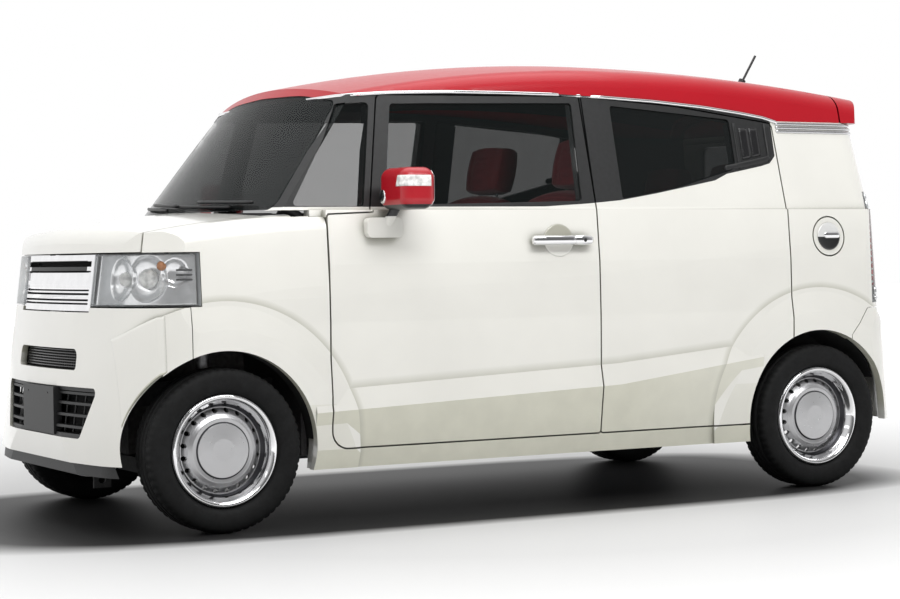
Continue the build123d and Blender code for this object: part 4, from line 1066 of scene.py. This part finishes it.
seat = piece("rear_seat_padding", padding, "cloth")
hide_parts("rear_seat")
stand = joined(*[tube([(-0.97, y, 0.441), (-0.97, y, 0.490)], 0.06, sides=16, up=(0, 1, 0))
                 for y in (-0.35, -0.12, 0.12, 0.35)],
               *[rest_post(-1.160, y, 1.07, 1.16) for y in (-0.30, -0.17, 0.17, 0.30)])
piece("rear_seat_frame", stand, "steel")


# Door trim, dashboard fittings and engine bay

def pad(x, y, z, radius, rings=8, segments=24):
    """Block between pairs of x, y and z, with round edges and corners."""
    half = [(high - low) / 2 for low, high in (x, y, z)]
    middle = [(high + low) / 2 for low, high in (x, y, z)]
    verts = []
    for i in range(rings):
        polar = math.pi * (i + 0.5) / rings
        for k in range(segments):
            angle = 2 * math.pi * (k + 0.5) / segments
            out = (math.sin(polar) * math.cos(angle), math.sin(polar) * math.sin(angle), math.cos(polar))
            verts.append(Vector([m + math.copysign(max(h - radius, 0.0), d) + d * min(radius, h)
                                 for m, h, d in zip(middle, half, out)]))
    return verts, drum_faces(rings, segments)


def loop(points, radius):
    """Thin bead round a closed line of points."""
    return tube(list(points) + [points[0]], radius, sides=8)


# Front and rear door: armrest, pocket, cloth panel, pull and switch, each from x to x
DOOR_TRIM = {
    "front": ((-0.12, 0.40), (-0.12, 0.44), (-0.15, 0.52), (0.30, 0.40), (0.20, 0.33)),
    "rear": ((-0.80, -0.42), (-0.76, -0.38), (-0.94, -0.34), (-0.50, -0.40), (-0.56, -0.47)),
}
for end, (arm, pocket, panel, pull, switch) in DOOR_TRIM.items():
    moulding = joined(pad(arm, (0.598, 0.658), (0.672, 0.718), 0.018),
                      pad(pocket, (0.620, 0.656), (0.400, 0.505), 0.015))
    rear, front = panel[0] + 0.02, panel[1] - 0.02
    seam = [(x, 0.6345, z) for x, z in ((rear, 0.762), (front, 0.762), (front, 0.888), (rear, 0.888))]
    lining = joined(pad(panel, (0.635, 0.656), (0.745, 0.905), 0.012), loop(seam, 0.0025))
    metal = joined(pad(pull, (0.620, 0.650), (0.842, 0.866), 0.009),
                   pad(switch, (0.608, 0.634), (0.712, 0.723), 0.004))
    door = f"{end}_door"
    pair(door, (f"{door}_armrest", moulding, "trim"), (f"{door}_lining", lining, "cloth"),
         (f"{door}_pull", metal, "satin"))
SPEAKER = (0.62, 0.648, 0.52)
SPEAKER_RIM = ((0.061, 0.0), (0.078, 0.0), (0.078, 0.004), (0.072, 0.010), (0.064, 0.008))
cone = joined(turned(SPEAKER_RIM, 48, SPEAKER, -1),
              *[turned(((r - 0.003, 0.0), (r + 0.003, 0.0), (r, 0.006)), 48, SPEAKER, -1)
                for r in steps(0.012, 0.055, 6)])
pair("front_door", ("door_speaker", cone, "black"))

DASH = ((0.72, 0.743), (0.80, 0.674), (0.88, 0.6325), (0.94, 0.621), (0.98, 0.620))
DRIVER_Y = -0.35
VENTS = (-0.545, -0.19, 0.19, 0.545)
binnacle = joined(pad((0.66, 0.82), (DRIVER_Y - 0.16, DRIVER_Y + 0.16), (1.015, 1.102), 0.024),
                  *[pad((0.612, 0.645), (y - 0.056, y + 0.056), (0.936, 0.996), 0.012) for y in VENTS])
piece("dash_housings", binnacle, "trim")
dark = joined(pad((0.652, 0.675), (DRIVER_Y - 0.135, DRIVER_Y + 0.135), (1.030, 1.090), 0.012),
              pad((0.602, 0.640), (-0.118, 0.118), (0.885, 1.005), 0.012))
piece("dash_screens", dark, "gloss_black")
rings = []
for y in (DRIVER_Y - 0.062, DRIVER_Y + 0.062):
    dial = [(0.652, y + 0.024 * math.cos(a), 1.060 + 0.024 * math.sin(a)) for a in steps(0, 1.9 * math.pi, 20)]
    rings.append(loop(dial, 0.002))
for y in VENTS:
    rings += [tube([(0.612, y - 0.044, z), (0.612, y + 0.044, z)], 0.003) for z in (0.951, 0.966, 0.981)]
rings += [dome((0.652, y, 0.842), (-1, 0, 0), 0.019, 0.022) for y in (-0.075, 0.0, 0.075)]
piece("dash_bright_work", joined(*rings), "satin")
edge = [(y, 0.735) for y in steps(0.16, 0.54, 6)] + [(0.54, z) for z in steps(0.75, 0.865, 8)]
edge += [(y, 0.87) for y in steps(0.54, 0.16, 6)] + [(0.16, z) for z in steps(0.86, 0.745, 8)]
line = [(curve_between(DASH, z) - 0.001, y, z) for y, z in edge]
piece("glovebox_line", loop(line, 0.0035), "black")

cover = joined(pad((1.10, 1.42), (-0.06, 0.30), (0.812, 0.868), 0.020),
               *[tube([(1.14, y, 0.867), (1.38, y, 0.867)], 0.007) for y in steps(0.0, 0.18, 4)],
               pad((1.08, 1.32), (-0.31, -0.10), (0.812, 0.925), 0.018),
               tube([(1.24, 0.250, 0.862), (1.24, 0.250, 0.892)], 0.026, sides=20, up=(0, 1, 0)),
               tube([(1.41, -0.240, 0.900), (1.41, -0.240, 0.918)], 0.024, sides=20, up=(0, 1, 0)))
piece("engine_cover", cover, "black")
hose = [tube([(1.30, -0.205, 0.880), (1.355, -0.200, 0.884), (1.405, -0.150, 0.884), (1.420, -0.080, 0.872),
              (1.400, -0.010, 0.856)], 0.027, sides=18)]
hose += [tube([(1.325 + d, -0.203, 0.882), (1.331 + d, -0.203, 0.882)], 0.030, sides=18) for d in (0.0, 0.012)]
piece("intake_hose", joined(*hose), "trim")
bottle = joined(pad((1.355, 1.465), (-0.315, -0.175), (0.812, 0.902), 0.022),
                tube([(1.36, -0.245, 0.850), (1.46, -0.245, 0.850)], 0.010))
piece("coolant_bottle", bottle, "white_lens")
booster = joined(dome((0.958, -0.420, 0.895), (1, 0, 0), 0.095, 0.070, segments=32),
                 tube([(1.015, -0.420, 0.895), (1.105, -0.420, 0.895)], 0.021, sides=18),
                 pad((1.035, 1.095), (-0.445, -0.395), (0.905, 0.950), 0.012))
piece("brake_booster", booster, "steel")


# Floor, light and camera

def studio(name):
    """Pale floor with a painted shadow under the car; it glows a little far from the car."""
    made, tree, shader = material(name, 0.55)
    shift = vector_math(tree, "SUBTRACT", place(tree), (0.20, 0.0, 0.0))
    oval = vector_math(tree, "MULTIPLY", shift, (0.46, 0.98, 0.0))
    reach = vector_math(tree, "LENGTH", vector_math(tree, "MULTIPLY", oval, oval))
    uneven = math_node(tree, "ADD", reach, math_node(tree, "MULTIPLY", noise(tree, 6.0), 0.02))
    # The dark oval is the car's painted shadow.
    dark, pale = (0.006, 0.006, 0.006), (0.60, 0.60, 0.60)
    tint(tree, shader, ramp(tree, uneven, [(0.0, dark), (0.74, dark), (1.0, pale)]))
    relief(tree, shader, noise(tree, 60.0), 0.01, 0.001)
    far = ranged(tree, vector_math(tree, "LENGTH", place(tree)), 1.9, 6.0, 0.0, 0.65)
    shader.inputs["Emission Color"].default_value = (1.0, 1.0, 1.0, 1.0)
    wire(tree, far, shader.inputs["Emission Strength"])
    return made


mesh = bpy.data.meshes.new("studio_floor")
mesh.from_pydata([(-40, -40, 0), (40, -40, 0), (40, 40, 0), (-40, 40, 0)], [], [(0, 1, 2, 3)])
floor = bpy.data.objects.new("studio_floor", mesh)
bpy.context.scene.collection.objects.link(floor)
wear(floor, studio("studio_floor"))
floor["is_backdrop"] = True

world = bpy.data.worlds.new("studio")
bpy.context.scene.world = world
world.use_nodes = True
sky = world.node_tree
backing = sky.nodes["Background"]
backing.inputs["Color"].default_value = (1.0, 1.0, 1.0, 1.0)
heading = split(sky, add(sky, "TexCoord").outputs["Generated"])
wire(sky, ranged(sky, heading["Y"], -0.2, 0.8, 1.0, 0.15), backing.inputs["Strength"])


def softbox(name, location, target, size, power):
    data = bpy.data.lights.new(name, "AREA")
    data.shape = "RECTANGLE"
    data.size, data.size_y = size
    data.energy = power
    lamp = bpy.data.objects.new(name, data)
    lamp.location = location
    lamp.rotation_mode = "QUATERNION"
    lamp.rotation_quaternion = (Vector(target) - Vector(location)).to_track_quat("-Z", "Y")
    bpy.context.scene.collection.objects.link(lamp)


softbox("overhead", (0.0, 0.4, 5.5), (0, 0, 0.6), (6.0, 4.0), 120)
softbox("side_strip", (0.4, 5.0, 5.2), (0, 0, 0.8), (6.0, 1.6), 255)
softbox("front_strip", (6.0, 2.0, 3.8), (1.4, 0, 0.8), (3.0, 0.8), 8)
softbox("cabin_fill", (0.50, 0.10, 1.36), (-0.35, 0.34, 1.10), (0.80, 0.10), 1.6)

CAMERA_AT = (4.1772, 7.4624, 0.9163)
CAMERA_BACK = (0.4873, 0.8730, 0.0189)
CAMERA_ROLL = math.radians(-0.806)
data = bpy.data.cameras.new("camera")
data.sensor_width = 36.0
data.lens = 86.95
camera = bpy.data.objects.new("camera", data)
bpy.context.scene.collection.objects.link(camera)
bpy.context.scene.camera = camera
back = Vector(CAMERA_BACK).normalized()
right = Vector((0, 0, 1)).cross(back).normalized()
up = back.cross(right)
cos, sin = math.cos(CAMERA_ROLL), math.sin(CAMERA_ROLL)
right, up = right * cos + up * sin, up * cos - right * sin
camera.matrix_world = Matrix((*zip(right, up, back, CAMERA_AT), (0, 0, 0, 1)))
bpy.context.scene.view_settings.view_transform = "Standard"

low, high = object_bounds()
